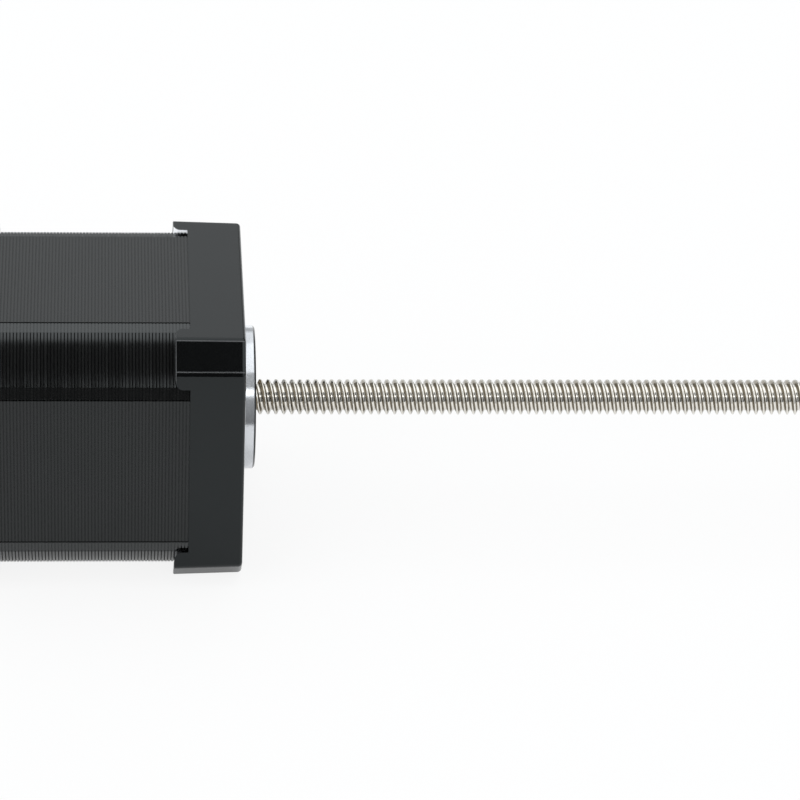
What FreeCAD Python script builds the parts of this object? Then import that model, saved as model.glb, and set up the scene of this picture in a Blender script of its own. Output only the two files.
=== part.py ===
import FreeCAD, Part
import math
import os

# Non-captive linear stepper motor. A hollow rotor carries a nut, and the nut drives a long
# lead screw straight through the motor. Millimetres, +X along the screw out of the pilot,
# +Z up, origin at the centre of the pilot on the mounting face.

# End caps
frame_side = 42.3
corner_cut = 3.8
cap_length = 8.2
cap_draft_deg = 1.3
cap_edge_cut = 0.5
front_wall = 3.0
lip_depth = 2.2
lip_lead_in = 1.0
pilot_dia = 22.0
pilot_height = 2.0
pilot_chamfer = 0.3
pilot_bore = 14.0
rear_bore = 13.0
hub_wall = 1.5
hub_clearance = 0.5
cavity_clearance = 0.3

# Lamination stack
stack_length = 31.0
flat_recess = 0.15
lobe_rise = 4.1
lobe_start = 14.65
register_clearance = 0.4
flat_reach = 12.5
groove_width = 0.45
groove_depth = 0.3
groove_rim = 0.04
stator_bore = 26.4
pole_count = 8
teeth_per_pole = 6
stator_tooth_depth = 0.6
stator_tooth_share = 0.45
shoe_thickness = 1.5
neck_width = 4.2
back_iron = 2.85

# Case screws and face holes
hole_inset = 5.65
face_hole_dia = 2.5
face_hole_depth = 4.5
case_screw_dia = 3.0
case_screw_gap = 0.2
case_screw_clearance = 0.15
thread_fit = 0.02
head_dia = 5.5
head_height = 2.0
head_recess = 0.2
head_chamfer = 0.3
head_clearance = 0.25
pocket_web = 0.4

# Bobbins and windings
saddle = 0.8
slot_liner = 0.4
liner_fit = 0.02
flange_wall = 0.5
rim_wall = 0.5
coil_build = 3.0
coil_gap = 0.1
coil_corner = 1.2

# Winding board and header
board_thickness = 1.0
board_gap = 0.8
board_bore_clearance = 0.6
board_rim_clearance = 0.2
header_width = 16.0
header_height = 5.2
header_proud = 4.15
header_wall = 0.8
header_back = 1.0
header_gap = 0.3
header_fit = 0.15
latch_width = 3.0
latch_depth = 2.2
latch_spacing = 8.0
pin_count = 6
pin_pitch = 2.0
pin_size = 0.5
pin_fit = 0.02
pin_inset = 1.2
pin_slot_margin = 0.5

# Bearings
bearing_bore = 10.0
bearing_dia = 19.0
bearing_width = 5.0
ball_dia = 2.38
ball_count = 7
ball_facets = 8
ball_rings = 4
race_clearance = 0.03
race_shoulder = 0.5
shoulder_width = 1.0
seat_fit = 0.01
shield_thickness = 0.25
shield_inset = 0.15
shield_gap = 0.2
cage_wall = 0.8
cage_back = 0.45
cage_reach = 0.4
cage_clearance = 0.08

# Rotor
rotor_teeth = 50
rotor_tooth_depth = 0.6
rotor_tip_share = 0.4
rotor_root_share = 0.5
air_gap = 0.15
magnet_dia = 22.0
magnet_thickness = 2.0
shim_dia = 12.0
shim_thickness = 0.8
sleeve_front_inset = 0.6
sleeve_rear_inset = 0.8

# Preload spring
spring_height = 0.9
spring_thickness = 0.25
spring_waves = 3
spring_margin = 0.1
spring_steps = 8

# Drive nut and lead screw
nut_dia = 8.0
nut_length = 12.0
flange_dia = 11.6
flange_thickness = 1.4
flange_chamfer = 0.3
screw_dia = 5.5
screw_clearance = 0.05
screw_length = 200.0
screw_reach = 112.0
screw_chamfer = 0.7

# Places that several pieces share
axis = FreeCAD.Vector(1, 0, 0)
origin = FreeCAD.Vector(0, 0, 0)
stack_front = -cap_length
stack_rear = stack_front - stack_length
stack_middle = (stack_front + stack_rear) / 2
rear_face = stack_rear - cap_length
lobe_radius = frame_side / 2 + lobe_rise
slot_reach = frame_side / 2 - back_iron
hole_pitch = frame_side - 2 * hole_inset
rear_wall = head_height + head_recess + pocket_web
end_height = cap_length - rear_wall - board_thickness - board_gap
rim_reach = slot_reach + rim_wall
cavity_reach = rim_reach + cavity_clearance
bore_radius = stator_bore / 2
shoe_back = bore_radius + shoe_thickness
bearing_start = stack_front + shim_thickness
bearing_middle = bearing_start + bearing_width / 2
seat_radius = bearing_dia / 2 + seat_fit
hub_radius = seat_radius + hub_wall
race_pitch = (bearing_bore + bearing_dia) / 4
ball_radius = ball_dia / 2
inner_race = race_pitch - ball_radius - race_clearance
outer_race = race_pitch + ball_radius + race_clearance
sleeve_radius = bearing_bore / 2 - seat_fit
nut_radius = nut_dia / 2
coil_half = neck_width / 2 + slot_liner + coil_gap + coil_build
coil_inner = shoe_back + flange_wall + coil_gap
coil_outer = slot_reach - coil_gap
header_start = stack_front + header_gap
header_middle = header_start + header_height / 2
header_rear = rim_reach + coil_gap
header_mouth = frame_side / 2 + header_proud
pin_tail = coil_outer + coil_gap + pin_size / 2
pin_places = [(index - (pin_count - 1) / 2) * pin_pitch for index in range(pin_count)]
tooth_pitch_deg = 360 / rotor_teeth


def side_point(quarter, along, out, x=0.0):
    """Point on one of the four sides: along the side, and outwards from the axis."""
    turn = math.radians(90 * quarter)
    y = out * math.cos(turn) - along * math.sin(turn)
    z = out * math.sin(turn) + along * math.cos(turn)
    return FreeCAD.Vector(x, y, z)


def disc(radius, start, end):
    return Part.makeCylinder(radius, end - start, axis * start, axis)


def ring(outer, inner, start, end):
    return disc(outer, start, end).cut(disc(inner, start, end))


def block(x, y, z):
    """Box between two values on each axis."""
    low = FreeCAD.Vector(min(x), min(y), min(z))
    high = FreeCAD.Vector(max(x), max(y), max(z))
    size = high - low
    return Part.makeBox(size.x, size.y, size.z, low)


def pole_prism(reach, start, end):
    """Prism with one flat side for each pole, at a distance from the axis."""
    corner = reach / math.cos(math.pi / pole_count)
    points = []
    for index in range(pole_count):
        turn = math.pi * (2 * index + 1) / pole_count
        points.append(FreeCAD.Vector(start, corner * math.cos(turn), corner * math.sin(turn)))
    return Part.Face(Part.makePolygon(points + points[:1])).extrude(axis * (end - start))


def turned(profile):
    """Solid of revolution about the motor's axis, from (x, radius) points."""
    points = [FreeCAD.Vector(x, radius, 0) for x, radius in profile]
    face = Part.Face(Part.makePolygon(points + points[:1]))
    return face.revolve(origin, axis, 360)


def around(shape, count, first_deg=0.0):
    """Copies of a shape spaced evenly round the motor's axis."""
    copies = []
    for index in range(count):
        copy = shape.copy()
        copy.rotate(origin, axis, first_deg + 360 * index / count)
        copies.append(copy)
    return copies


def to_rear(shape):
    """Mirror a piece from the front end of the motor to the rear end."""
    return shape.mirror(axis * stack_middle, axis)


def at_corners(radius, start, end):
    """Four cylinders on the square of the case screws."""
    half = hole_pitch / 2
    return [disc(radius, start, end).translated(side_point(quarter, half, half)) for quarter in range(4)]


def octagon(half, x):
    points = []
    for quarter in range(4):
        points.append(side_point(quarter, corner_cut - half, half, x))
        points.append(side_point(quarter, half - corner_cut, half, x))
    return Part.makePolygon(points + points[:1])


def cap_blank():
    """Drafted square cap with cut corners, broken edges and a register for the stack's lobes."""
    lip_end = stack_front - lip_depth
    half = frame_side / 2
    taper = math.tan(math.radians(cap_draft_deg)) * (cap_length + lip_depth)
    blank = Part.makeLoft([octagon(half, lip_end), octagon(half - taper, 0)], True, True)
    edges = [edge for edge in blank.Edges if edge.BoundBox.XMax > stack_front]
    blank = blank.makeChamfer(cap_edge_cut, edges)
    register_radius = lobe_radius + register_clearance
    register = disc(register_radius, lip_end, stack_front)
    mouth_radius = register_radius + lip_lead_in
    lead_in = Part.makeCone(mouth_radius, register_radius, lip_lead_in, axis * lip_end, axis)
    return blank.cut([register, lead_in])


def cap_inside(wall):
    """Room for the end turns, around a hub that takes the bearing."""
    hub_end = stack_front + hub_clearance
    return pole_prism(cavity_reach, stack_front, -wall).cut(disc(hub_radius, hub_end, -wall))


def front_end_cap():
    """Front cap with the pilot, and the square of holes shared by the face and the case screws."""
    pilot = turned([
        (-front_wall, 0),
        (-front_wall, pilot_dia / 2),
        (pilot_height - pilot_chamfer, pilot_dia / 2),
        (pilot_height, pilot_dia / 2 - pilot_chamfer),
        (pilot_height, 0),
    ])
    seat = disc(seat_radius, stack_front, bearing_start + bearing_width)
    mouth = turned([
        (stack_front, 0),
        (stack_front, pilot_bore / 2),
        (pilot_height - pilot_chamfer, pilot_bore / 2),
        (pilot_height, pilot_bore / 2 + pilot_chamfer),
        (pilot_height, 0),
    ])
    face_holes = at_corners(face_hole_dia / 2, -face_hole_depth, 0)
    screw_holes = at_corners(case_screw_dia / 2 + thread_fit, stack_front, -face_hole_depth)
    cap = cap_blank().fuse(pilot)
    return cap.cut([cap_inside(front_wall), seat, mouth] + face_holes + screw_holes)


def rear_end_cap():
    """Rear cap, drawn at the front end and mirrored: spring seat, screw pockets, header window."""
    seat = disc(seat_radius, stack_front, bearing_start + bearing_width + spring_height)
    mouth = disc(rear_bore / 2, stack_front, 0)
    screw_holes = at_corners(case_screw_dia / 2 + case_screw_clearance, stack_front, 0)
    pockets = at_corners(head_dia / 2 + head_clearance, -head_height - head_recess, 0)
    half_window = header_width / 2 + header_fit
    window = block(
        (stack_front, header_start + header_height + header_fit),
        (header_rear - header_fit, frame_side),
        (-half_window, half_window),
    )
    cap = cap_blank().cut([cap_inside(rear_wall), seat, mouth, window] + screw_holes + pockets)
    return to_rear(cap)


def stack_outline():
    """Flats with a groove at each end, slopes that lead off them, and lobes on one circle."""
    half = frame_side / 2 - flat_recess
    lobe_level = math.sqrt(lobe_radius ** 2 - lobe_start ** 2)
    corner = lobe_radius * math.sqrt(0.5)
    side = [
        (flat_reach, half),
        (flat_reach, half - groove_depth),
        (flat_reach + groove_width, half - groove_rim),
        (lobe_start, lobe_level),
    ]
    edges = []
    for quarter in range(4):
        flat = [side_point(quarter, -reach, level) for reach, level in reversed(side)]
        flat += [side_point(quarter, reach, level) for reach, level in side]
        edges += Part.makePolygon(flat).Edges
        top = side_point(quarter, corner, corner)
        next_flat = side_point(quarter + 1, -lobe_start, lobe_level)
        edges.append(Part.Arc(flat[-1], top, next_flat).toShape())
    return Part.Face(Part.Wire(edges))


def stator_laminations():
    """Stack of sheets with wound poles, each pole carrying a row of small teeth."""
    span = (stack_rear, stack_front)
    stack = stack_outline().extrude(axis * stack_length).translated(axis * stack_rear)
    neck = block(span, (shoe_back / 2, slot_reach + neck_width), (-neck_width / 2, neck_width / 2))
    slots = pole_prism(slot_reach, *span).cut([disc(shoe_back, *span)] + around(neck, pole_count))
    pole_deg = 360 / pole_count
    tooth_deg = tooth_pitch_deg * stator_tooth_share
    shoe_deg = tooth_pitch_deg * (teeth_per_pole - 1) + tooth_deg
    mouth_half = math.radians(pole_deg - shoe_deg) / 2 * bore_radius
    mouth_reach = (bore_radius - stator_tooth_depth, (shoe_back + slot_reach) / 2)
    mouth = block(span, mouth_reach, (-mouth_half, mouth_half))
    gap_half = math.radians(tooth_pitch_deg - tooth_deg) / 2 * bore_radius
    gap_reach = (bore_radius - stator_tooth_depth, bore_radius + stator_tooth_depth)
    gap = block(span, gap_reach, (-gap_half, gap_half))
    gaps = []
    for place in range(teeth_per_pole - 1):
        turn = tooth_pitch_deg * (place - (teeth_per_pole - 2) / 2)
        gaps += around(gap, pole_count, turn)
    screw_holes = at_corners(case_screw_dia / 2 + case_screw_clearance, *span)
    stack = stack.cut([disc(bore_radius, *span), slots])
    return stack.cut(around(mouth, pole_count, pole_deg / 2) + gaps + screw_holes)


def bobbin():
    """Half of the slot insulation: rim, and on each pole a saddle, a flange and two slot liners."""
    half = neck_width / 2 + slot_liner
    liner_end = stack_middle + coil_gap
    rim_span = (stack_front, stack_front + end_height)
    rim = pole_prism(rim_reach, *rim_span).cut(pole_prism(slot_reach, *rim_span))
    seat = block((stack_front, stack_front + saddle), (shoe_back, slot_reach + rim_wall / 2), (-half, half))
    flange = block(
        rim_span,
        (shoe_back, shoe_back + flange_wall),
        (-coil_half, coil_half),
    )
    parts = [seat, flange]
    for side in (-1, 1):
        wall = (side * (half - slot_liner + liner_fit), side * half)
        parts.append(block((liner_end, stack_front + saddle), (shoe_back + coil_gap, coil_outer), wall))
    poles = []
    for part in parts:
        poles += around(part, pole_count)
    return rim.multiFuse(poles).removeSplitter()


def rear_bobbin():
    """Rear half, with the rim open where the header pins pass."""
    half = pin_places[-1] + pin_size / 2 + pin_slot_margin
    opening = block((stack_front + saddle, 0), (slot_reach - rim_wall, cavity_reach), (-half, half))
    return to_rear(bobbin().cut(opening))


def coil():
    """One coil, wound round a pole's saddles and liners."""
    inner_half = coil_half - coil_build
    inner_end = stack_front + saddle + coil_gap
    outer_end = stack_front + end_height - coil_gap
    reach = (coil_inner, coil_outer)
    far = 2 * stack_middle
    solid = block((far - outer_end, outer_end), reach, (-coil_half, coil_half))
    ends = [edge for edge in solid.Edges if edge.BoundBox.YLength > (coil_outer - coil_inner) / 2]
    solid = solid.makeChamfer(coil_corner, ends)
    return solid.cut(block((far - inner_end, inner_end), reach, (-inner_half, inner_half)))


def winding(first_pole):
    """Every second coil round the stator, joined as one phase."""
    first_deg = 360 / pole_count * first_pole
    return Part.makeCompound(around(coil(), pole_count // 2, first_deg))


def winding_board():
    start = stack_front + end_height
    end = start + board_thickness
    board = pole_prism(cavity_reach - board_rim_clearance, start, end)
    board = board.cut(disc(hub_radius + board_bore_clearance, start, end))
    return to_rear(board)


def header_pin(z, margin=0.0):
    """One square pin: straight through the header's back, then down to the board."""
    half = pin_size / 2 + margin
    side = (z - half, z + half)
    across = (header_middle - half, header_middle + half)
    blade = block(across, (pin_tail - half, header_mouth - pin_inset), side)
    tail = block((header_middle - half, stack_front + end_height), (pin_tail - half, pin_tail + half), side)
    return blade.fuse(tail).removeSplitter()


def connector_pins():
    return to_rear(Part.makeCompound([header_pin(z) for z in pin_places]))


def connector_housing():
    """Open box for the plug, with two latch windows in the wall that faces the rear."""
    half_width = header_width / 2
    across = (header_start, header_start + header_height)
    box = block(across, (header_rear, header_mouth), (-half_width, half_width))
    room = block(
        (across[0] + header_wall, across[1] - header_wall),
        (header_rear + header_back, header_mouth),
        (header_wall - half_width, half_width - header_wall),
    )
    cutters = [room]
    for side in (-1, 1):
        middle = side * latch_spacing / 2
        latch = block(
            (across[1] - header_wall, across[1]),
            (header_mouth - latch_depth, header_mouth),
            (middle - latch_width / 2, middle + latch_width / 2),
        )
        cutters.append(latch)
    cutters += [header_pin(z, pin_fit) for z in pin_places]
    return to_rear(box.cut(cutters))


def case_screws():
    """Four long cheese-head screws from the rear cap into the front cap."""
    radius = head_dia / 2
    top = rear_face + head_recess
    seat = top + head_height
    tip = -face_hole_depth - case_screw_gap
    screw = turned([
        (top, 0),
        (top, radius - head_chamfer),
        (top + head_chamfer, radius),
        (seat, radius),
        (seat, case_screw_dia / 2),
        (tip, case_screw_dia / 2),
        (tip, 0),
    ])
    half = hole_pitch / 2
    return Part.makeCompound([screw.translated(side_point(quarter, half, half)) for quarter in range(4)])


def bearing_ring(wall, race, shoulder):
    """Turned ring with a plain race and a shoulder beside the balls."""
    end = bearing_start + bearing_width
    step = bearing_start + shoulder_width
    return turned([
        (bearing_start, wall),
        (end, wall),
        (end, race),
        (step, race),
        (step, shoulder),
        (bearing_start, shoulder),
    ])


def bearing_shield():
    """Thin disc that closes the outer side of a bearing."""
    outer = outer_race - seat_fit
    inner = inner_race + shield_gap
    end = bearing_start + bearing_width - shield_inset
    return ring(outer, inner, end - shield_thickness, end)


def flat_face(points):
    return Part.Face(Part.makePolygon(points + points[:1]))


def ball_ring(index):
    """Corners of one ring of a ball's facets, counted along its axis."""
    tilt = math.pi * ((index + 0.5) / ball_rings - 0.5)
    middle = FreeCAD.Vector(bearing_middle + ball_radius * math.sin(tilt), race_pitch, 0)
    points = []
    for facet in range(ball_facets):
        turn = 2 * math.pi * facet / ball_facets
        spoke = FreeCAD.Vector(0, math.cos(turn), math.sin(turn))
        points.append(middle + spoke * ball_radius * math.cos(tilt))
    return points


def bearing_balls():
    """Balls round the race, each built from rings of flat facets."""
    rings = [ball_ring(index) for index in range(ball_rings)]
    faces = [flat_face(rings[0]), flat_face(rings[-1])]
    for lower, upper in zip(rings, rings[1:]):
        for facet in range(ball_facets):
            after = (facet + 1) % ball_facets
            faces.append(flat_face([lower[facet], lower[after], upper[after], upper[facet]]))
    ball = Part.Solid(Part.Shell(faces))
    return Part.makeCompound(around(ball, ball_count))


def bearing_cage():
    """Crown cage: a ring behind the balls with an open pocket for each of them."""
    pocket_half = ball_radius + cage_clearance
    start = bearing_middle - cage_reach
    end = bearing_middle + pocket_half + cage_back
    crown = ring(race_pitch + cage_wall / 2, race_pitch - cage_wall / 2, start, end)
    pocket = block(
        (start, bearing_middle + pocket_half),
        (race_pitch - cage_wall, race_pitch + cage_wall),
        (-pocket_half, pocket_half),
    )
    return crown.cut(around(pocket, ball_count))


def wave_section(index):
    """Cross-section of the spring at one of its steps round the axis."""
    swing = (spring_height - spring_thickness) / 2
    turn = 2 * math.pi * index / (spring_waves * spring_steps)
    start = bearing_start + bearing_width + swing * (1 + math.cos(turn * spring_waves))
    inner = outer_race + spring_margin
    outer = bearing_dia / 2 - spring_margin
    points = []
    for x, radius in (
        (start, inner),
        (start, outer),
        (start + spring_thickness, outer),
        (start + spring_thickness, inner),
    ):
        points.append(FreeCAD.Vector(x, radius * math.cos(turn), radius * math.sin(turn)))
    return Part.makePolygon(points + points[:1])


def wave_spring():
    """Wavy washer between the rear bearing's outer ring and its seat."""
    sections = [wave_section(index) for index in range(spring_waves * spring_steps)]
    return to_rear(Part.makeLoft(sections, True, True, True))


def rotor_cup(start, end, turn_deg):
    """Toothed rotor disc, turned by part of a tooth."""
    tip = bore_radius - air_gap
    root = tip - rotor_tooth_depth
    tip_half = tooth_pitch_deg * rotor_tip_share / 2
    root_half = tooth_pitch_deg * rotor_root_share / 2
    points = []
    for tooth in range(rotor_teeth):
        middle = turn_deg + tooth_pitch_deg * tooth
        for offset, radius in ((-root_half, root), (-tip_half, tip), (tip_half, tip), (root_half, root)):
            turn = math.radians(middle + offset)
            points.append(FreeCAD.Vector(start, radius * math.cos(turn), radius * math.sin(turn)))
    cup = Part.Face(Part.makePolygon(points + points[:1])).extrude(axis * (end - start))
    return cup.cut(disc(bearing_bore / 2, start, end))


def rotor_stack():
    """Two toothed cups, half a tooth apart, with the magnet between them."""
    cup_length = (stack_length - magnet_thickness) / 2
    magnet_front = stack_front - cup_length
    magnet_rear = magnet_front - magnet_thickness
    return {
        "rotor_cup_front": rotor_cup(magnet_front, stack_front, 0),
        "rotor_magnet": ring(magnet_dia / 2, bearing_bore / 2, magnet_rear, magnet_front),
        "rotor_cup_rear": rotor_cup(stack_rear, magnet_rear, tooth_pitch_deg / 2),
    }


def rotor_shim():
    return ring(shim_dia / 2, bearing_bore / 2, stack_front, bearing_start)


def rotor_sleeve():
    """Hollow shaft that carries the rotor and holds the nut."""
    return ring(sleeve_radius, nut_radius + seat_fit, rear_face + sleeve_rear_inset, -sleeve_front_inset)


def drive_nut():
    """Flanged nut, seated on the sleeve's front end."""
    bore = screw_dia / 2 + screw_clearance
    front = flange_thickness - sleeve_front_inset
    return turned([
        (-sleeve_front_inset - nut_length, bore),
        (-sleeve_front_inset - nut_length, nut_radius),
        (-sleeve_front_inset, nut_radius),
        (-sleeve_front_inset, flange_dia / 2),
        (front - flange_chamfer, flange_dia / 2),
        (front, flange_dia / 2 - flange_chamfer),
        (front, bore),
    ])


def lead_screw():
    radius = screw_dia / 2
    start = screw_reach - screw_length
    return turned([
        (start, 0),
        (start, radius - screw_chamfer),
        (start + screw_chamfer, radius),
        (screw_reach - screw_chamfer, radius),
        (screw_reach, radius - screw_chamfer),
        (screw_reach, 0),
    ])


def all_pieces():
    """Every piece of the motor by name."""
    pieces = {
        "front_end_cap": front_end_cap(),
        "rear_end_cap": rear_end_cap(),
        "stator_laminations": stator_laminations(),
        "front_bobbin": bobbin(),
        "rear_bobbin": rear_bobbin(),
        "winding_phase_a": winding(0),
        "winding_phase_b": winding(1),
        "winding_board": winding_board(),
        "connector_housing": connector_housing(),
        "connector_pins": connector_pins(),
        "case_screws": case_screws(),
        "wave_spring": wave_spring(),
        "rotor_sleeve": rotor_sleeve(),
        "drive_nut": drive_nut(),
        "lead_screw": lead_screw(),
        "front_rotor_shim": rotor_shim(),
        "rear_rotor_shim": to_rear(rotor_shim()),
    }
    bearing = {
        "outer_ring": bearing_ring(bearing_dia / 2, outer_race, outer_race - race_shoulder),
        "inner_ring": bearing_ring(bearing_bore / 2, inner_race, inner_race + race_shoulder),
        "balls": bearing_balls(),
        "cage": bearing_cage(),
        "shield": bearing_shield(),
    }
    for name, shape in bearing.items():
        pieces["front_bearing_" + name] = shape
        pieces["rear_bearing_" + name] = to_rear(shape)
    pieces.update(rotor_stack())
    return pieces


def main():
    os.makedirs("parts", exist_ok=True)
    for name, shape in all_pieces().items():
        shape.exportStep("parts/" + name + ".step")


main()
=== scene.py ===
"""Looks of a non-captive linear stepper motor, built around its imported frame.

The pieces that show are modelled again with round edges, sheet edges and a real thread. The
inner nodes keep their solids and get a finish. Lengths are millimetres until a piece is done.
"""

from __future__ import annotations

import logging
import math
import random
from dataclasses import dataclass, field, replace
from enum import Enum
from typing import Iterable, Optional, Sequence, Union

import bmesh
import bpy
from bmesh.types import BMEdge, BMFace, BMVert
from mathutils import Matrix, Vector


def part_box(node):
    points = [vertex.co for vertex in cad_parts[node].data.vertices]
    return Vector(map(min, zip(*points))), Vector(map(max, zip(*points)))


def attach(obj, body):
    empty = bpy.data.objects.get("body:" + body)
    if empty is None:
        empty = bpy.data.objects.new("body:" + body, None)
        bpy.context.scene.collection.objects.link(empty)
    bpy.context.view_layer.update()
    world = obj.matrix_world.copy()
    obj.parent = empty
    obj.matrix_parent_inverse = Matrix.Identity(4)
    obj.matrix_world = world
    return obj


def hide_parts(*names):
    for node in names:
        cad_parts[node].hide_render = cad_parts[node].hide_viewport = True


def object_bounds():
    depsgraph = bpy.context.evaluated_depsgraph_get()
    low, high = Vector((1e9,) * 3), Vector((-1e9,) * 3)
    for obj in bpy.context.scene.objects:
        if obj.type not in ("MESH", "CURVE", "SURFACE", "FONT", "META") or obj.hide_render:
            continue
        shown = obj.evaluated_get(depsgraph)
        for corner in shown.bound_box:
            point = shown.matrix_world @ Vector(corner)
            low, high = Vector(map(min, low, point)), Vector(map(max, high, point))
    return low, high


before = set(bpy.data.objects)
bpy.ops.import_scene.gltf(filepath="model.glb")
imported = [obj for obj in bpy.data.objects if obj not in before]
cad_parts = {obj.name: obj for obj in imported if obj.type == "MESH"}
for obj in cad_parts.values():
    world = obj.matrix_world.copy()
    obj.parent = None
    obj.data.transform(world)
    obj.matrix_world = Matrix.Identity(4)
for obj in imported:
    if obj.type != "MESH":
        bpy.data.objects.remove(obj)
CAD_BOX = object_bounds()

log = logging.getLogger("motor")

MM = 0.001  # one millimetre, in metres
TOUCH = 0.002  # places this close, in millimetres, count as one
CUT = TOUCH / 10  # a plane this close to a vertex cuts through it
FACING = 0.9  # least part of a face's normal along the axis that it faces
HALF = 0.5  # middle of what runs from nought to one
NOISE_DETAIL = 2.0  # octaves of every noise
MIX_FIRST, MIX_SECOND, MIX_COLOUR = 6, 7, 2  # sockets of a Mix node that mixes colours
X, Y, Z = 0, 1, 2  # places of the axes in a vector
AXIS = Vector((1, 0, 0))  # the motor's own axis
CORNERS = [(1, 1), (-1, 1), (-1, -1), (1, -1)]  # signs of Y and Z, all round

Colour = tuple[float, float, float]
Point = tuple[float, float, float]
Pair = tuple[float, float]
Profile = Sequence[Pair]


class End(Enum):
    """The motor's two ends, with the way that each one faces along X."""

    FRONT = 1
    REAR = -1

    def named(self, rest: str) -> str:
        """Name of a thing at this end."""
        return f"{self.name.lower()}_{rest}"


def span(node: str) -> tuple[Vector, Vector]:
    """Box of a node at rest, in millimetres.

    Args:
        node: Name of the node.

    Returns:
        Its lowest and its highest corner.
    """
    low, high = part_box(node)
    return low / MM, high / MM


def rotated(points: Profile, turn: float) -> list[Pair]:
    """Points across the motor, turned about its axis."""
    cos, sin = math.cos(turn), math.sin(turn)
    return [(y * cos - z * sin, y * sin + z * cos) for y, z in points]


class Channel:
    """Output of a shader node that takes part in arithmetic."""

    def __init__(self, graph: "Graph", socket: bpy.types.NodeSocket) -> None:
        """Wrap one output socket of a graph."""
        self.graph = graph
        self.socket = socket

    def out(self, name: str) -> "Channel":
        """Another output of the same node."""
        return Channel(self.graph, self.socket.node.outputs[name])

    def _math(self, operation: str, first: "Value", second: "Value") -> "Channel":
        """One Math node on two values."""
        return self.graph.node("ShaderNodeMath", {"operation": operation}, {0: first, 1: second})

    def __add__(self, other: "Value") -> "Channel":
        """Sum."""
        return self._math("ADD", self, other)

    def __sub__(self, other: "Value") -> "Channel":
        """Difference."""
        return self._math("SUBTRACT", self, other)

    def __rsub__(self, other: "Value") -> "Channel":
        """Difference from a number."""
        return self._math("SUBTRACT", other, self)

    def __mul__(self, other: "Value") -> "Channel":
        """Product."""
        return self._math("MULTIPLY", self, other)

    def __truediv__(self, other: "Value") -> "Channel":
        """Quotient."""
        return self._math("DIVIDE", self, other)

    def __pow__(self, other: "Value") -> "Channel":
        """Power."""
        return self._math("POWER", self, other)

    __radd__ = __add__
    __rmul__ = __mul__

    def wave(self) -> "Channel":
        """Sine, from nought to one."""
        return self._math("SINE", self, 0.0) * HALF + HALF

    def floor(self) -> "Channel":
        """Whole part."""
        return self._math("FLOOR", self, 0.0)

    def part(self) -> "Channel":
        """Fraction that is left of the whole part."""
        return self._math("FRACT", self, 0.0)

    def size(self) -> "Channel":
        """Value without its sign."""
        return self._math("ABSOLUTE", self, 0.0)

    def larger(self, other: "Value") -> "Channel":
        """The larger of two values."""
        return self._math("MAXIMUM", self, other)

    def blend(self, other: "Channel", share: float) -> "Channel":
        """Weighted mean with a share of another value."""
        return self * (1 - share) + other * share

    def swing(self, spread: float) -> "Channel":
        """How far this lies from one half, times a spread."""
        return (self - HALF) * spread

    def angle(self, across: "Channel") -> "Channel":
        """Angle of the direction up by this and across by another, in degrees."""
        return self._math("ARCTAN2", self, across) * (180 / math.pi)

    def steps(self, low: float, high: float) -> "Channel":
        """Smooth rise from nought at low to one at high."""
        settings = {"interpolation_type": "SMOOTHSTEP"}
        return self.graph.node("ShaderNodeMapRange", settings, {0: self, 1: low, 2: high})


Value = Union[Channel, float, int, Colour, Point]


class Graph:
    """Node tree of a material or a world."""

    def __init__(self, owner: Union[bpy.types.Material, bpy.types.World], output: str) -> None:
        """Start an empty tree with its output node.

        Args:
            owner: The material or world.
            output: Type of the output node.
        """
        owner.use_nodes = True
        self.tree = owner.node_tree
        self.tree.nodes.clear()
        self.output = self.tree.nodes.new(output)

    def node(
        self,
        kind: str,
        settings: Optional[dict] = None,
        values: Optional[dict] = None,
        output: Union[int, str] = 0,
    ) -> Channel:
        """Add a node.

        Args:
            kind: The node's type.
            settings: Its own properties.
            values: Numbers or channels for its input sockets.
            output: The socket that the channel wraps.

        Returns:
            The chosen output.
        """
        made = self.tree.nodes.new(kind)
        for name, setting in (settings or {}).items():
            setattr(made, name, setting)
        for key, value in (values or {}).items():
            self.feed(made.inputs[key], value)
        return Channel(self, made.outputs[output])

    def feed(self, socket: bpy.types.NodeSocket, value: Value) -> None:
        """Link a channel to a socket, or set a plain value on it.

        Args:
            socket: The input.
            value: A channel, number, colour or vector.
        """
        if isinstance(value, Channel):
            self.tree.links.new(value.socket, socket)
        elif socket.type == "RGBA":
            socket.default_value = (*value, 1.0)
        else:
            socket.default_value = value

    def place(self) -> Channel:
        """Object coordinates in metres."""
        return self.node("ShaderNodeTexCoord", output="Object")

    def along(self, axis: str) -> Channel:
        """One object coordinate, in millimetres."""
        return self.node("ShaderNodeSeparateXYZ", {}, {0: self.place()}, axis) * (1 / MM)

    def radius(self) -> Channel:
        """Distance from the motor's axis, in millimetres."""
        return (self.along("Y") ** 2 + self.along("Z") ** 2) ** 0.5

    def noise(self, grain: float, stretch: Point = (1, 1, 1)) -> Channel:
        """Noise with a grain in millimetres.

        Args:
            grain: Size of one blotch.
            stretch: How much longer the blotches are along each axis.

        Returns:
            Values around one half.
        """
        scale = [1 / (grain * MM * long) for long in stretch]
        coords = self.node("ShaderNodeMapping", {}, {"Vector": self.place(), "Scale": scale})
        values = {"Vector": coords, "Scale": 1.0, "Detail": NOISE_DETAIL}
        return self.node("ShaderNodeTexNoise", {}, values)

    def mix(self, share: Value, first: Value, second: Value) -> Channel:
        """Colour between two colours.

        Args:
            share: Share of the second.
            first: Colour at nought.
            second: Colour at one.

        Returns:
            The mixed colour.
        """
        values = {0: share, MIX_FIRST: first, MIX_SECOND: second}
        return self.node("ShaderNodeMix", {"data_type": "RGBA"}, values, MIX_COLOUR)

    def close(self, shader: Channel) -> None:
        """Link a shader to the output."""
        self.tree.links.new(shader.socket, self.output.inputs["Surface"])


class Marks(Enum):
    """How the marks of making run over a metal piece."""

    TURNED = "rings about the axis"
    ROLLED = "lines round the axis"
    PRESSED = "no direction"


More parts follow.
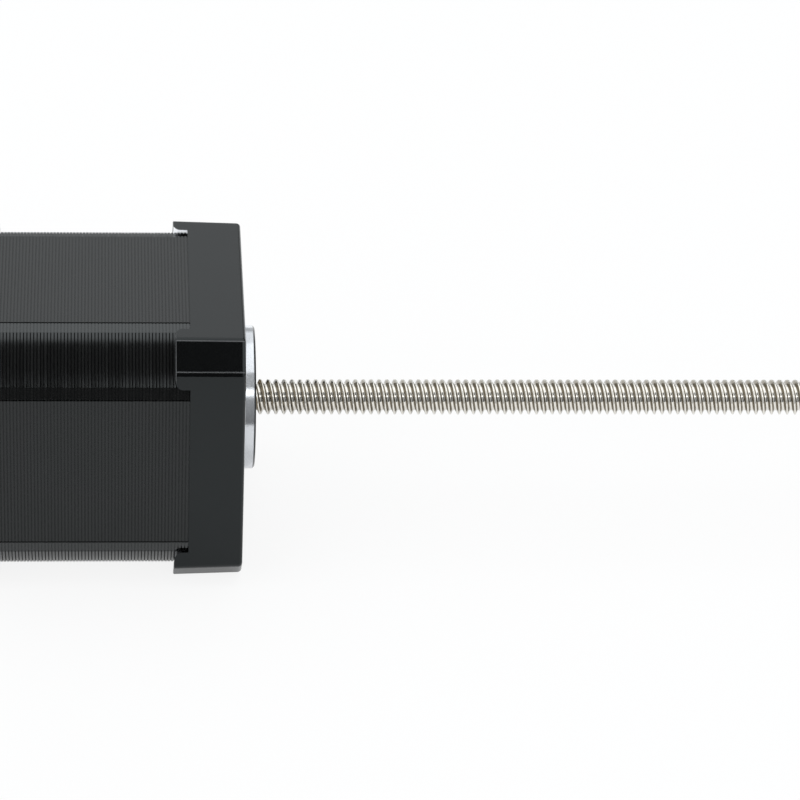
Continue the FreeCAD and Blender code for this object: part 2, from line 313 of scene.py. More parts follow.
@dataclass(frozen=True)
class Pattern:
    """What varies over a surface."""

    shade: Channel
    rough: Channel
    height: Channel


@dataclass(frozen=True)
class Finish:
    """A finish: a light and a dark colour, gloss, and a relief."""

    name: str
    slot: str
    light: Colour
    dark: Colour
    rough: float
    metallic: float = 0.0
    specular: float = 0.5
    relief: float = 0.01
    tint: Colour = (1.0, 1.0, 1.0)
    cloud_size: float = 4.0
    grain_size: float = 0.25
    grain_share: float = 0.4
    gloss_spread: float = 0.12

    def pattern(self, graph: Graph) -> Pattern:
        """What varies: fine grain over soft clouds.

        Args:
            graph: The material's tree.

        Returns:
            The pattern.
        """
        grain = graph.noise(self.grain_size)
        shade = graph.noise(self.cloud_size).blend(grain, self.grain_share)
        return Pattern(shade, self.rough + grain.swing(self.gloss_spread), grain)

    def colour(self, graph: Graph, pattern: Pattern) -> Channel:
        """Colour between the dark and the light one."""
        return graph.mix(pattern.shade, self.dark, self.light)

    def material(self) -> bpy.types.Material:
        """The material, made once and then shared.

        Returns:
            The material of this finish.
        """
        known = bpy.data.materials.get(self.name)
        if known is not None:
            return known
        material = bpy.data.materials.new(self.name)
        graph = Graph(material, "ShaderNodeOutputMaterial")
        pattern = self.pattern(graph)
        heights = {"Strength": 1.0, "Distance": self.relief * MM, "Height": pattern.height}
        bump = graph.node("ShaderNodeBump", {}, heights)
        values = {
            "Base Color": self.colour(graph, pattern),
            "Roughness": pattern.rough,
            "Metallic": self.metallic,
            "Specular IOR Level": self.specular,
            "Specular Tint": self.tint,
            "Normal": bump,
        }
        graph.close(graph.node("ShaderNodeBsdfPrincipled", {}, values))
        return material


@dataclass(frozen=True)
class Metal(Finish):
    """Bare metal with the marks of its making."""

    metallic: float = 1.0
    cloud_size: float = 3.0
    grain_size: float = 0.2
    grain_share: float = 0.5
    gloss_spread: float = 0.1
    stain_gloss: float = 0.15
    marks: Marks = Marks.PRESSED
    pitch: float = 0.12
    rolled_stretch: Point = (1, 12, 12)
    wander_size: float = 1.5
    wander_turn: float = 2.0
    scratch_size: float = 0.3
    scratch_share: float = 0.4

    def pattern(self, graph: Graph) -> Pattern:
        """Tool marks, fine scratches and soft stains.

        Args:
            graph: The material's tree.

        Returns:
            The pattern.
        """
        stains = graph.noise(self.cloud_size)
        if self.marks is Marks.PRESSED:
            lines = graph.noise(self.grain_size)
        elif self.marks is Marks.ROLLED:
            lines = graph.noise(self.pitch, self.rolled_stretch)
        else:
            wander = graph.noise(self.wander_size) * self.wander_turn
            rings = (graph.radius() + graph.along("X")) * (2 * math.pi / self.pitch)
            scratches = graph.noise(self.scratch_size)
            lines = (rings + wander).wave().blend(scratches, self.scratch_share)
        rough = self.rough + stains.swing(self.stain_gloss) + lines.swing(self.gloss_spread)
        return Pattern(stains.blend(lines, self.grain_share), rough, lines)


@dataclass(frozen=True)
class ThreadSteel(Metal):
    """Rolled thread: bright along crest and root, with painted shade on the flanks."""

    # Painted shade: the dark colour that the thread's flanks take.
    flank: Colour = (0.27, 0.24, 0.19)
    ridge: float = 1.2192
    starts: int = 2
    place: float = 0.0
    crest_share: float = 0.12
    root_share: float = 0.34
    blur: float = 0.06
    flank_shade_spread: float = 0.25

    def colour(self, graph: Graph, pattern: Pattern) -> Channel:
        """Steel, with painted shade on the flanks between crest and root, along the helix.

        Args:
            graph: The material's tree.
            pattern: What varies over the steel.

        Returns:
            The colour.
        """
        turn = graph.along("Z").angle(graph.along("Y")) * (self.starts / 360)
        beside = (((graph.along("X") - self.place) / self.ridge - turn + HALF).part() - HALF).size()
        past_crest = beside.steps(self.crest_share - self.blur, self.crest_share + self.blur)
        past_flank = beside.steps(self.root_share - self.blur, self.root_share + self.blur)
        flank_shade_mottle = 1 - self.flank_shade_spread + self.flank_shade_spread * pattern.shade
        # Painted shade: the flanks between crest and root take the dark flank colour, mottled a
        # little.
        flank_shade = past_crest * (1 - past_flank) * flank_shade_mottle
        return graph.mix(flank_shade, graph.mix(pattern.shade, self.dark, self.light), self.flank)


@dataclass(frozen=True)
class SheetEdges(Finish):
    """Edges of stacked sheets: each sheet its own tone, dark in the joints between them."""

    pitch: float = 0.5
    start: float = 0.0
    joint: float = 0.16
    joint_blur: Pair = (0.3, 0.8)
    cloud_size: float = 6.0
    cloud_share: float = 0.4
    grain_size: float = 0.12
    grain_stretch: Point = (1, 6, 6)
    grain_height: float = 0.5
    gloss_spread: float = 0.08
    tone_share: float = 0.2
    tone_gloss: float = 0.06

    def pattern(self, graph: Graph) -> Pattern:
        """Tone of each sheet, dark joints, and burrs across the sheets.

        Args:
            graph: The material's tree.

        Returns:
            The pattern.
        """
        place = (graph.along("X") - self.start) / self.pitch
        sheet = {"W": place.floor()}
        tone = graph.node("ShaderNodeTexWhiteNoise", {"noise_dimensions": "1D"}, sheet)
        beside = ((place.part() - HALF).size() * -1 + HALF) * self.pitch
        land = beside.steps(*(self.joint * share for share in self.joint_blur))
        clouds = graph.noise(self.cloud_size)
        grain = graph.noise(self.grain_size, self.grain_stretch)
        shade = tone * self.tone_share + clouds * self.cloud_share + grain * self.grain_share
        rough = self.rough + tone.swing(self.tone_gloss) + grain.swing(self.gloss_spread)
        return Pattern(land * shade, rough, grain * self.grain_height + land)


@dataclass(frozen=True)
class WoundWire(Finish):
    """Turns of enamelled wire laid side by side."""

    wire: float = 0.35
    wander_size: float = 2.0
    cloud_size: float = 1.5
    cloud_share: float = 0.3
    gloss_spread: float = 0.1

    def pattern(self, graph: Graph) -> Pattern:
        """Round turns, with a painted highlight on each back and painted shade in the lines
        between.

        Args:
            graph: The material's tree.

        Returns:
            The pattern.
        """
        wander = graph.noise(self.wander_size)
        # Painted highlight and shade: the colour follows each turn, light on its back and dark
        # between turns.
        turns = (graph.radius() * (2 * math.pi / self.wire) + wander).wave()
        shade = turns.blend(graph.noise(self.cloud_size), self.cloud_share)
        return Pattern(shade, self.rough + turns.swing(self.gloss_spread), turns)


CAST_BLACK = Finish(
    "cast_black_coat", "cap_black", (0.0028, 0.0029, 0.0030), (0.0009, 0.0009, 0.0010), 0.16,
    specular=0.38, relief=0.009, tint=(0.90, 0.98, 1.0),
)
# Rubbed coat with a painted highlight: light grey for the edges of the chamfers and of the lips'
# tips.
WORN_EDGE_HIGHLIGHT = Finish(
    "worn_coat_edge", "cap_black", (0.16, 0.16, 0.165), (0.015, 0.015, 0.016), 0.30,
    metallic=0.6, relief=0.003,
)
MACHINED = Metal(
    "machined_aluminium", "cap_black", (0.92, 0.94, 0.97), (0.84, 0.86, 0.90), 0.11, relief=0.016,
    marks=Marks.TURNED, pitch=0.16,
)
SHEET_BLACK = SheetEdges(
    "coated_sheet_edges", "lamination_black", (0.0150, 0.0148, 0.0146),
    (0.0012, 0.0012, 0.0012), 0.20, specular=0.42, relief=0.004, tint=(0.94, 0.99, 1.0),
)
LOBE_BLACK = replace(SHEET_BLACK, name="coated_lobe_edges", rough=0.13, specular=0.75, relief=0.001)
JOINT_BLACK = replace(SHEET_BLACK, name="dull_sheet_joints", rough=0.5, specular=0.12)
THREAD_STEEL = ThreadSteel(
    "rolled_thread_steel", "screw_steel", (0.88, 0.85, 0.79), (0.78, 0.75, 0.69), 0.09,
    relief=0.0005, marks=Marks.ROLLED, pitch=0.10,
)
NUT_BRONZE = Metal(
    "turned_bronze", "nut_bronze", (0.36, 0.29, 0.19), (0.26, 0.21, 0.13), 0.30, relief=0.002,
    marks=Marks.TURNED, pitch=0.16,
)
SLEEVE_STEEL = Metal(
    "turned_sleeve_steel", "sleeve_steel", (0.60, 0.60, 0.61), (0.42, 0.42, 0.43), 0.24,
    relief=0.002, marks=Marks.TURNED, pitch=0.12,
)
BEARING_STEEL = Metal(
    "ground_bearing_steel", "bearing_steel", (0.70, 0.70, 0.72), (0.55, 0.55, 0.57), 0.14,
    relief=0.001, marks=Marks.TURNED, pitch=0.08,
)
SHIELD_STEEL = Metal(
    "pressed_shield_steel", "shield_steel", (0.60, 0.60, 0.62), (0.44, 0.44, 0.46), 0.30,
)
CAGE_STEEL = Metal("pressed_cage_steel", "cage_steel", (0.50, 0.50, 0.50), (0.36, 0.36, 0.36), 0.34)
SPRING_STEEL = Metal(
    "tempered_spring_steel", "spring_steel", (0.44, 0.42, 0.39), (0.28, 0.26, 0.24), 0.30,
    marks=Marks.ROLLED,
)
MAGNET_NICKEL = Metal(
    "nickel_plated_magnet", "magnet_nickel", (0.62, 0.60, 0.56), (0.50, 0.48, 0.44), 0.18,
)
ROTOR_STEEL = SheetEdges(
    "punched_rotor_steel", "rotor_steel", (0.44, 0.44, 0.45), (0.16, 0.16, 0.16), 0.36,
    metallic=1.0,
)
CASE_SCREW_BLACK = Metal(
    "blackened_screw_steel", "case_screw_steel", (0.15, 0.15, 0.155), (0.08, 0.08, 0.085), 0.32,
    relief=0.003,
)
PIN_TIN = Metal("tinned_pin", "pin_tin", (0.74, 0.73, 0.70), (0.58, 0.57, 0.54), 0.24, relief=0.002)
HEADER_PLASTIC = Finish(
    "natural_header_plastic", "header_plastic", (0.83, 0.82, 0.77), (0.76, 0.75, 0.69), 0.38,
    relief=0.004,
)
BOBBIN_PLASTIC = Finish(
    "moulded_bobbin_plastic", "bobbin_plastic", (0.76, 0.75, 0.71), (0.66, 0.65, 0.60), 0.46,
    relief=0.006,
)
BOARD_GREEN = Finish("coated_board", "board_green", (0.045, 0.21, 0.095), (0.03, 0.15, 0.065), 0.34)
COIL_COPPER = WoundWire(
    "enamelled_wire", "coil_copper", (0.62, 0.27, 0.11), (0.20, 0.07, 0.03), 0.28,
    metallic=1.0, relief=0.08,
)


class Draft:
    """A mesh being shaped in millimetres, with the moves that the pieces share."""

    def __init__(self) -> None:
        """Start empty."""
        self.bm = bmesh.new()

    def everything(self) -> list:
        """All vertices, edges and faces."""
        return self.bm.verts[:] + self.bm.edges[:] + self.bm.faces[:]

    def chain(self, points: Iterable[Point], closed: bool = False) -> list[BMEdge]:
        """Join points by edges.

        Args:
            points: The points in order.
            closed: Whether the last joins the first.

        Returns:
            The edges.
        """
        verts = [self.bm.verts.new(point) for point in points]
        pairs = list(zip(verts, verts[1:]))
        if closed:
            pairs.append((verts[-1], verts[0]))
        return [self.bm.edges.new(pair) for pair in pairs]

    def lathe(
        self, profile: Profile, steps: int, centre: Pair = (0.0, 0.0), closed: bool = False,
    ) -> None:
        """Turn a profile about a line along X.

        Args:
            profile: Points as place along X and radius.
            steps: Facets in a full turn.
            centre: Where the line crosses Y and Z.
            closed: Whether the profile is a closed outline.
        """
        y, z = centre
        edges = self.chain([(x, y, z + radius) for x, radius in profile], closed)
        verts = list({vert for edge in edges for vert in edge.verts})
        bmesh.ops.spin(
            self.bm, geom=verts + edges, cent=(0, y, z), axis=AXIS, angle=2 * math.pi, steps=steps,
            use_merge=True,
        )

    def extrude(
        self, edges: Sequence[BMEdge], shift: Point, scale: float = 1.0, centre: Point = (0, 0, 0)
    ) -> list[BMEdge]:
        """Draw edges out into a wall.

        Args:
            edges: The edges to draw out.
            shift: How far they go.
            scale: How much they shrink about the centre, across X.
            centre: Centre of the shrinking.

        Returns:
            The far edges of the wall.
        """
        made = bmesh.ops.extrude_edge_only(self.bm, edges=edges)["geom"]
        verts = {item for item in made if isinstance(item, BMVert)}
        space = Matrix.Translation(-Vector(centre))
        bmesh.ops.scale(self.bm, vec=(1, scale, scale), space=space, verts=list(verts))
        bmesh.ops.translate(self.bm, vec=shift, verts=list(verts))
        return [item for item in made if isinstance(item, BMEdge) and verts.issuperset(item.verts)]

    def slice(self, point: Point, normal: Point, faces: Optional[Sequence[BMFace]] = None) -> None:
        """Add edges where a plane crosses the mesh.

        Args:
            point: A point on the plane.
            normal: Its normal.
            faces: The faces to slice, or all of them.
        """
        geom = self.everything()
        if faces is not None:
            edges = {edge for face in faces for edge in face.edges}
            verts = {vert for face in faces for vert in face.verts}
            geom = list(verts) + list(edges) + list(faces)
        bmesh.ops.bisect_plane(self.bm, geom=geom, dist=CUT, plane_co=point, plane_no=normal)

    def edges_at(self, axis: int, place: float) -> list[BMEdge]:
        """Edges that lie in a plane across an axis."""
        return [edge for edge in self.bm.edges if self._lies(edge, axis, place)]

    def open_edges(self, axis: int, place: float) -> list[BMEdge]:
        """Open edges that lie in a plane across an axis."""
        return [edge for edge in self.edges_at(axis, place) if edge.is_boundary]

    def fill(self, axis: int, place: float) -> None:
        """Close the open outlines in a plane across an axis.

        Args:
            axis: The axis that the plane crosses.
            place: Where it crosses.
        """
        normal = Vector((0, 0, 0))
        normal[axis] = 1
        bmesh.ops.triangle_fill(
            self.bm, use_beauty=True, edges=self.open_edges(axis, place), normal=normal,
        )

    def notch(
        self, through: int, across: int, down: int, sides: Pair, ends: Pair, walls: Pair,
        extra: Sequence[float] = (),
    ) -> None:
        """Cut a notch through a double wall, open at its rim.

        Args:
            through: Axis through the wall.
            across: Axis along the notch's width.
            down: Axis from the rim to the notch's floor.
            sides: The notch's two sides.
            ends: Its lower and upper end, one of which is the rim.
            walls: Range through the wall that holds both of its skins.
            extra: More places across where both skins are sliced.
        """
        def near(face: BMFace) -> bool:
            """Whether a face is one of the wall's skins."""
            middle = face.calc_center_bounds()
            return walls[0] < middle[through] < walls[1] and abs(face.normal[through]) > HALF

        def skins() -> list[BMFace]:
            """Find both skins.

            Returns:
                Their faces, with the rim between them.
            """
            found = []
            for face in self.bm.faces:
                if all(walls[0] < vert.co[through] < walls[1] for vert in face.verts) or near(face):
                    found.append(face)
            return found

        for axis, places in ((across, [*sides, *extra]), (down, ends)):
            normal = Vector((0, 0, 0))
            normal[axis] = 1
            for place in places:
                self.slice(normal * place, normal, skins())
        inside = []
        for face in skins():
            middle = face.calc_center_median()
            if sides[0] < middle[across] < sides[1] and ends[0] < middle[down] < ends[1] + TOUCH:
                inside.append(face)
        before = {edge for edge in self.bm.edges if edge.is_boundary}
        bmesh.ops.delete(self.bm, geom=inside, context="FACES")
        fresh = [edge for edge in self.bm.edges if edge.is_boundary and edge not in before]
        rims = [edge for edge in fresh if self._skin_edge(edge, through)]
        for axis, places in ((across, sides), (down, ends)):
            for place in places:
                run = [edge for edge in rims if self._lies(edge, axis, place)]
                if run:
                    bmesh.ops.bridge_loops(self.bm, edges=run)

    @staticmethod
    def _lies(edge: BMEdge, axis: int, place: float) -> bool:
        """Whether an edge lies in a plane across an axis."""
        return all(abs(vert.co[axis] - place) < TOUCH for vert in edge.verts)

    @staticmethod
    def _skin_edge(edge: BMEdge, through: int) -> bool:
        """Whether an edge runs along a skin, not through the wall."""
        return abs((edge.verts[0].co - edge.verts[1].co)[through]) < HALF * edge.calc_length()

    def finish(
        self, name: str, finishes: Sequence[Finish], sharp_deg: float = 32.0,
    ) -> bpy.types.Object:
        """Turn the draft into an object in metres.

        Args:
            name: Name of the piece.
            finishes: Finishes, in the order of the faces' material numbers.
            sharp_deg: Edges that bend more than this stay sharp.

        Returns:
            The object.
        """
        bm = self.bm
        bmesh.ops.remove_doubles(bm, verts=bm.verts, dist=TOUCH)
        bmesh.ops.recalc_face_normals(bm, faces=bm.faces)
        bmesh.ops.scale(bm, vec=(MM, MM, MM), verts=bm.verts)
        for face in bm.faces:
            face.smooth = True
        for edge in bm.edges:
            edge.smooth = edge.is_manifold and edge.calc_face_angle(0.0) < math.radians(sharp_deg)
        mesh = bpy.data.meshes.new(name)
        bm.to_mesh(mesh)
        bm.free()
        for finish in finishes:
            mesh.materials.append(finish.material())
        made = bpy.data.objects.new(name, mesh)
        bpy.context.scene.collection.objects.link(made)
        weights = made.modifiers.new("flat_faces_stay_flat", "WEIGHTED_NORMAL")
        weights.keep_sharp = True
        return made


def settle(piece: bpy.types.Object, body: str, node: str) -> bpy.types.Object:
    """Let a piece stand for a node on a body.

    Args:
        piece: The piece.
        body: The body that it moves with.
        node: The node that it stands for.

    Returns:
        The piece.
    """
    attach(piece, body)
    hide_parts(node)
    log.info("%s stands for %s on %s, %d faces", piece.name, node, body, len(piece.data.polygons))
    return piece


class CapFace(Enum):
    """Finishes of a cap, in the order of its materials."""

    COATED = 0
    MACHINED = 1
    WORN = 2


@dataclass
class EndCap:
    """Square die-cast cap, drawn with its stack face at 0 and its outer face at +length."""

    length: float
    side: float
    wall: float
    end: End
    corner_cut: float = 3.8
    draft_deg: float = 1.3
    edge_round: float = 0.6
    edge_segments: int = 4
    corner_round: float = 0.5
    corner_segments: int = 6
    corner_room: float = 1.2
    worn_from_deg: float = 5.0
    worn_to_deg: float = 16.0
    lip_depth: float = 2.2
    lead_in: float = 1.0
    tip_break: float = 0.12
    tip_segments: int = 1
    register_radius: float = 25.65
    cavity_reach: float = 19.1
    cavity_sides: int = 8
    hub_radius: float = 11.01
    hub_clearance: float = 0.5
    seat_radius: float = 9.51
    hole_pitch: float = 31.0
    round_steps: int = 96
    hole_steps: int = 28
    arc_steps: int = 16

    def half(self, x: float) -> float:
        """Half the width of the cap at x."""
        return self.side / 2 - math.tan(math.radians(self.draft_deg)) * (x + self.lip_depth)

    def crossing(self, radius: float, x: float) -> float:
        """Where a circle about the axis crosses the flat sides at x."""
        broken = self.tip_break if abs(x + self.lip_depth) < TOUCH else 0.0
        return math.sqrt(radius ** 2 - (self.half(x) - broken) ** 2)

    def turned_out(self, inset: float) -> float:
        """How far a lip's round end opens the register, at an inset from its tip."""
        return self.lead_in - math.sqrt(self.lead_in ** 2 - (self.lead_in - inset) ** 2)

    def skin(self, draft: Draft) -> None:
        """Drafted outside with round edges, both ends open.

        Args:
            draft: The mesh to add to.
        """
        bm = draft.bm
        half = self.side / 2
        points = []
        for y, z in CORNERS:
            pair = [(half, half - self.corner_cut), (half - self.corner_cut, half)]
            for first, second in pair if y * z > 0 else reversed(pair):
                points.append((-self.lip_depth, y * first, z * second))
        draft.chain(points, closed=True)
        rear = bmesh.ops.contextual_create(bm, geom=bm.edges[:])["faces"]
        made = bmesh.ops.extrude_face_region(bm, geom=rear)["geom"]
        front = [item for item in made if isinstance(item, BMVert)]
        shrink = self.half(self.length) / half
        bmesh.ops.scale(bm, vec=(1, shrink, shrink), verts=front)
        bmesh.ops.translate(bm, vec=(self.length + self.lip_depth, 0, 0), verts=front)
        rounding = {"profile": 0.5, "material": -1, "affect": "EDGES"}
        sides = [edge for edge in bm.edges if abs(edge.verts[0].co.x - edge.verts[1].co.x) > TOUCH]
        made = bmesh.ops.bevel(
            bm, geom=sides, offset=self.corner_round, segments=self.corner_segments, **rounding,
        )
        bm.normal_update()
        # Painted highlight: one strip of each corner rounding, next to the chamfer, takes the light
        # edge grey.
        for face in made["faces"]:
            lean = abs(math.degrees(math.atan2(abs(face.normal.z), abs(face.normal.y))) - 45)
            if self.worn_from_deg < lean < self.worn_to_deg:
                face.material_index = CapFace.WORN.value
        outer = (self.length, self.edge_round, self.edge_segments)
        tips = (-self.lip_depth, self.tip_break, self.tip_segments)
        for place, offset, segments in (outer, tips):
            outline = draft.edges_at(X, place)
            bmesh.ops.bevel(bm, geom=outline, offset=offset, segments=segments, **rounding)
        ends = []
        for face in bm.faces:
            xs = [vert.co.x for vert in face.verts]
            if max(xs) - min(xs) < TOUCH:
                ends.append(face)
        bmesh.ops.delete(bm, geom=ends, context="FACES_ONLY")

    def lips(self, draft: Draft) -> None:
        """Leave four corner lips behind the stack face, turned out to the register.

        Args:
            draft: The mesh with the cap's skin.
        """
        bm = draft.bm
        tip = -self.lip_depth
        sliced = (self.lip_depth, self.lead_in, self.lead_in / 2)
        levels = {}
        for inset in (*sliced, self.tip_break, 0.0):
            opening = self.turned_out(min(inset, self.lead_in))
            levels[tip + inset] = self.register_radius + opening
        wide = math.sqrt(self.register_radius ** 2 - self.half(tip) ** 2)
        for inset in sliced:
            draft.slice((tip + inset, 0, 0), AXIS)
        for side in (-wide, wide):
            draft.slice((0, side, 0), (0, 1, 0))
            draft.slice((0, 0, side), (0, 0, 1))
        gone = []
        for face in bm.faces:
            middle = face.calc_center_median()
            if middle.x < 0 and min(abs(middle.y), abs(middle.z)) < wide:
                gone.append(face)
        bmesh.ops.delete(bm, geom=gone, context="FACES")
        for x, radius in levels.items():
            if radius > self.register_radius:
                hook = self.crossing(radius, x)
                for vert in [vert for vert in bm.verts if abs(vert.co.x - x) < TOUCH]:
                    for axis in (Y, Z):
                        if abs(abs(vert.co[axis]) - wide) < TOUCH:
                            vert.co[axis] = math.copysign(hook, vert.co[axis])
        for y, z in CORNERS:
            arcs = [self.arc(draft, x, radius, y, z) for x, radius in levels.items()]
            for upper, lower in zip(arcs, arcs[1:]):
                bmesh.ops.bridge_loops(bm, edges=upper + lower)
        draft.fill(X, tip)

    def arc(self, draft: Draft, x: float, radius: float, y: int, z: int) -> list[BMEdge]:
        """Arc of the register across one corner.

        Args:
            draft: The mesh with the lips' outsides.
            x: Where the arc lies.
            radius: Its radius.
            y: Sign of the corner along Y.
            z: Sign of the corner along Z.

        Returns:
            The arc's edges.
        """
        level = [v for v in draft.bm.verts if abs(v.co.x - x) < TOUCH]
        corner = [v for v in level if v.co.y * y > 0 and v.co.z * z > 0]
        if abs(x) < TOUCH:
            corner = [v for v in corner if any(edge.is_boundary for edge in v.link_edges)]
        inner = self.side / 2 - self.corner_room * self.corner_cut
        corner = [v for v in corner if min(abs(v.co.y), abs(v.co.z)) < inner]
        first = max(corner, key=lambda vert: abs(vert.co.y) - abs(vert.co.z))
        last = max(corner, key=lambda vert: abs(vert.co.z) - abs(vert.co.y))
        turns = [math.atan2(abs(v.co.z), abs(v.co.y)) for v in (first, last)]
        verts = [first]
        for step in range(1, self.arc_steps):
            turn = turns[0] + (turns[1] - turns[0]) * step / self.arc_steps
            across, up = radius * math.cos(turn), radius * math.sin(turn)
            verts.append(draft.bm.verts.new((x, y * across, z * up)))
        verts.append(last)
        return [draft.bm.edges.new(pair) for pair in zip(verts, verts[1:])]

    def inside(self, draft: Draft, bore: Profile, hole: Profile) -> None:
        """Cavity walls, hub with bore, and the four corner holes.

        Args:
            draft: The mesh to add to.
            bore: Profile from the hub's end to the outer face.
            hole: Profile of a corner hole, from the outer face to the stack face.
        """
        floor = self.length - self.wall
        spread = math.pi / self.cavity_sides
        corner = self.cavity_reach / math.cos(spread)
        turns = [spread * (2 * index + 1) for index in range(self.cavity_sides)]
        points = [(0, corner * math.cos(turn), corner * math.sin(turn)) for turn in turns]
        draft.extrude(draft.chain(points, closed=True), (floor, 0, 0))
        hub = [
            (floor, self.hub_radius), (self.hub_clearance, self.hub_radius),
            (self.hub_clearance, self.seat_radius),
        ]
        draft.lathe([*hub, *bore], self.round_steps)
        for y, z in CORNERS:
            draft.lathe(hole, self.hole_steps, (y * self.hole_pitch / 2, z * self.hole_pitch / 2))

    def seal(self, draft: Draft) -> None:
        """Close the stack face, the cavity's floor and the outer face."""
        for x in (0.0, self.length - self.wall, self.length):
            draft.fill(X, x)

    def turned(self, middle: Vector) -> bool:
        """Whether a face is turned bare: the stack face, or a lip's inside or tip.

        Args:
            middle: Middle of the face.

        Returns:
            True where the coat is turned off.
        """
        if middle.x > TOUCH:
            return False
        side = self.half(middle.x) - self.tip_break
        across = sorted((abs(middle.y), abs(middle.z)))
        under_skin = across[1] < side and sum(across) < 2 * side - self.corner_cut
        return middle.x < self.tip_break - self.lip_depth or under_skin

    def bare(self, middle: Vector) -> bool:
        """Whether a face at this place is turned bright; each kind of cap has its own."""
        return False

    def paint(self, draft: Draft) -> None:
        """Set each face's finish.

        Args:
            draft: The cap at its stack face.
        """
        for face in draft.bm.faces:
            middle = face.calc_center_median()
            # Painted highlight: the rounded break at each lip's tip takes the light edge grey.
            if TOUCH < middle.x + self.lip_depth < self.tip_break - TOUCH:
                face.material_index = CapFace.WORN.value
            elif self.turned(middle) or self.bare(middle):
                face.material_index = CapFace.MACHINED.value

    def dress(self, draft: Draft, stack_face: float) -> bpy.types.Object:
        """Turn the cap to its end of the motor, move it there and finish it.

        Args:
            draft: The cap at its stack face.
            stack_face: Place of that face.

        Returns:
            The piece.
        """
        self.paint(draft)
        bmesh.ops.scale(draft.bm, vec=(self.end.value, 1, 1), verts=draft.bm.verts)
        bmesh.ops.translate(draft.bm, vec=(stack_face, 0, 0), verts=draft.bm.verts)
        piece = draft.finish(self.end.named("cap_casting"), [CAST_BLACK, MACHINED, WORN_EDGE_HIGHLIGHT])
        return settle(piece, "motor", self.end.named("end_cap"))


@dataclass
class FrontCap(EndCap):
    """Front cap with the bright pilot and tapped face holes."""

    wall: float = 3.0
    end: End = End.FRONT
    seat_depth: float = 5.8
    bore_radius: float = 7.0
    pilot_radius: float = 11.0
    pilot_height: float = 2.0
    pilot_edge: float = 0.3
    tap_radius: float = 1.5
    core_radius: float = 1.25
    tap_pitch: float = 0.5
    tap_depth: float = 4.5
    tap_mouth: float = 0.25
    ridge_shares: tuple[float, float, float] = (0.40, 0.55, 0.95)
    screw_hole_radius: float = 1.52

    def build(self) -> Draft:
        """Model the cap.

        Returns:
            The cap at the stack face.
        """
        draft = Draft()
        self.skin(draft)
        self.lips(draft)
        top = self.length + self.pilot_height
        edge = self.pilot_edge
        bore = [
            (self.seat_depth, self.seat_radius), (self.seat_depth, self.bore_radius),
            (top - edge, self.bore_radius), (top, self.bore_radius + edge),
            (top, self.pilot_radius - edge), (top - edge, self.pilot_radius),
            (self.length, self.pilot_radius),
        ]
        self.inside(draft, bore, self.tapped_hole())
        self.seal(draft)
        return draft

    def tapped_hole(self) -> list[Pair]:
        """Profile of a face hole: mouth, thread ridges, then the case screw's hole.

        Returns:
            The profile from the outer face to the stack face.
        """
        mouth = self.length - self.tap_mouth
        profile = [(self.length, self.tap_radius + self.tap_mouth), (mouth, self.tap_radius)]
        ridges = int((self.tap_depth - self.tap_mouth) / self.tap_pitch)
        for index in range(ridges):
            x = mouth - index * self.tap_pitch
            radii = (self.core_radius, self.core_radius, self.tap_radius)
            for share, radius in zip(self.ridge_shares, radii):
                profile.append((x - share * self.tap_pitch, radius))
        step = self.length - self.tap_depth
        profile += [
            (step, self.core_radius), (step, self.screw_hole_radius), (0.0, self.screw_hole_radius),
        ]
        return profile

    def bare(self, middle: Vector) -> bool:
        """Whether a face is on the pilot, apart from its coated chamfer, or in the bore.

        Args:
            middle: Middle of the face.

        Returns:
            True where the metal is bright.
        """
        chamfer = middle.x > self.length + self.pilot_height - self.pilot_edge + TOUCH
        chamfer = chamfer and middle.yz.length > self.pilot_radius - self.pilot_edge
        pilot = middle.yz.length < self.pilot_radius + TOUCH and middle.x > self.seat_depth - TOUCH
        return pilot and not chamfer


@dataclass
class RearCap(EndCap):
    """Rear cap with a spring seat, screw pockets and the window for the header."""

    wall: float = 2.6
    end: End = End.REAR
    seat_depth: float = 6.7
    bore_radius: float = 6.5
    bore_edge: float = 0.3
    pocket_radius: float = 3.0
    pocket_depth: float = 2.2
    pocket_edge: float = 0.2
    screw_hole_radius: float = 1.65
    window_half: float = 8.15
    window_depth: float = 5.65
    window_margin: float = 1.0

    def build(self) -> Draft:
        """Model the cap, drawn like the front one.

        Returns:
            The cap at the stack face.
        """
        draft = Draft()
        self.skin(draft)
        self.lips(draft)
        bore = [
            (self.seat_depth, self.seat_radius), (self.seat_depth, self.bore_radius),
            (self.length - self.bore_edge, self.bore_radius),
            (self.length, self.bore_radius + self.bore_edge),
        ]
        ledge = self.length - self.pocket_depth
        hole = [
            (self.length, self.pocket_radius + self.pocket_edge),
            (self.length - self.pocket_edge, self.pocket_radius),
            (ledge, self.pocket_radius), (ledge, self.screw_hole_radius),
            (0.0, self.screw_hole_radius),
        ]
        self.inside(draft, bore, hole)
        corner = self.cavity_reach * math.tan(math.pi / self.cavity_sides)
        draft.notch(
            Y, Z, X, (-self.window_half, self.window_half), (0.0, self.window_depth),
            (self.cavity_reach - self.window_margin, self.side), (-corner, corner),
        )
        self.seal(draft)
        return draft

    def bare(self, middle: Vector) -> bool:
        """Whether a face is in the bore behind the bearing."""
        return middle.yz.length < self.seat_radius + TOUCH and middle.x > self.seat_depth - TOUCH


class SheetFace(Enum):
    """Finishes of the stack, in the order of its materials."""

    EDGE = 0
    LOBE = 1
    JOINT = 2


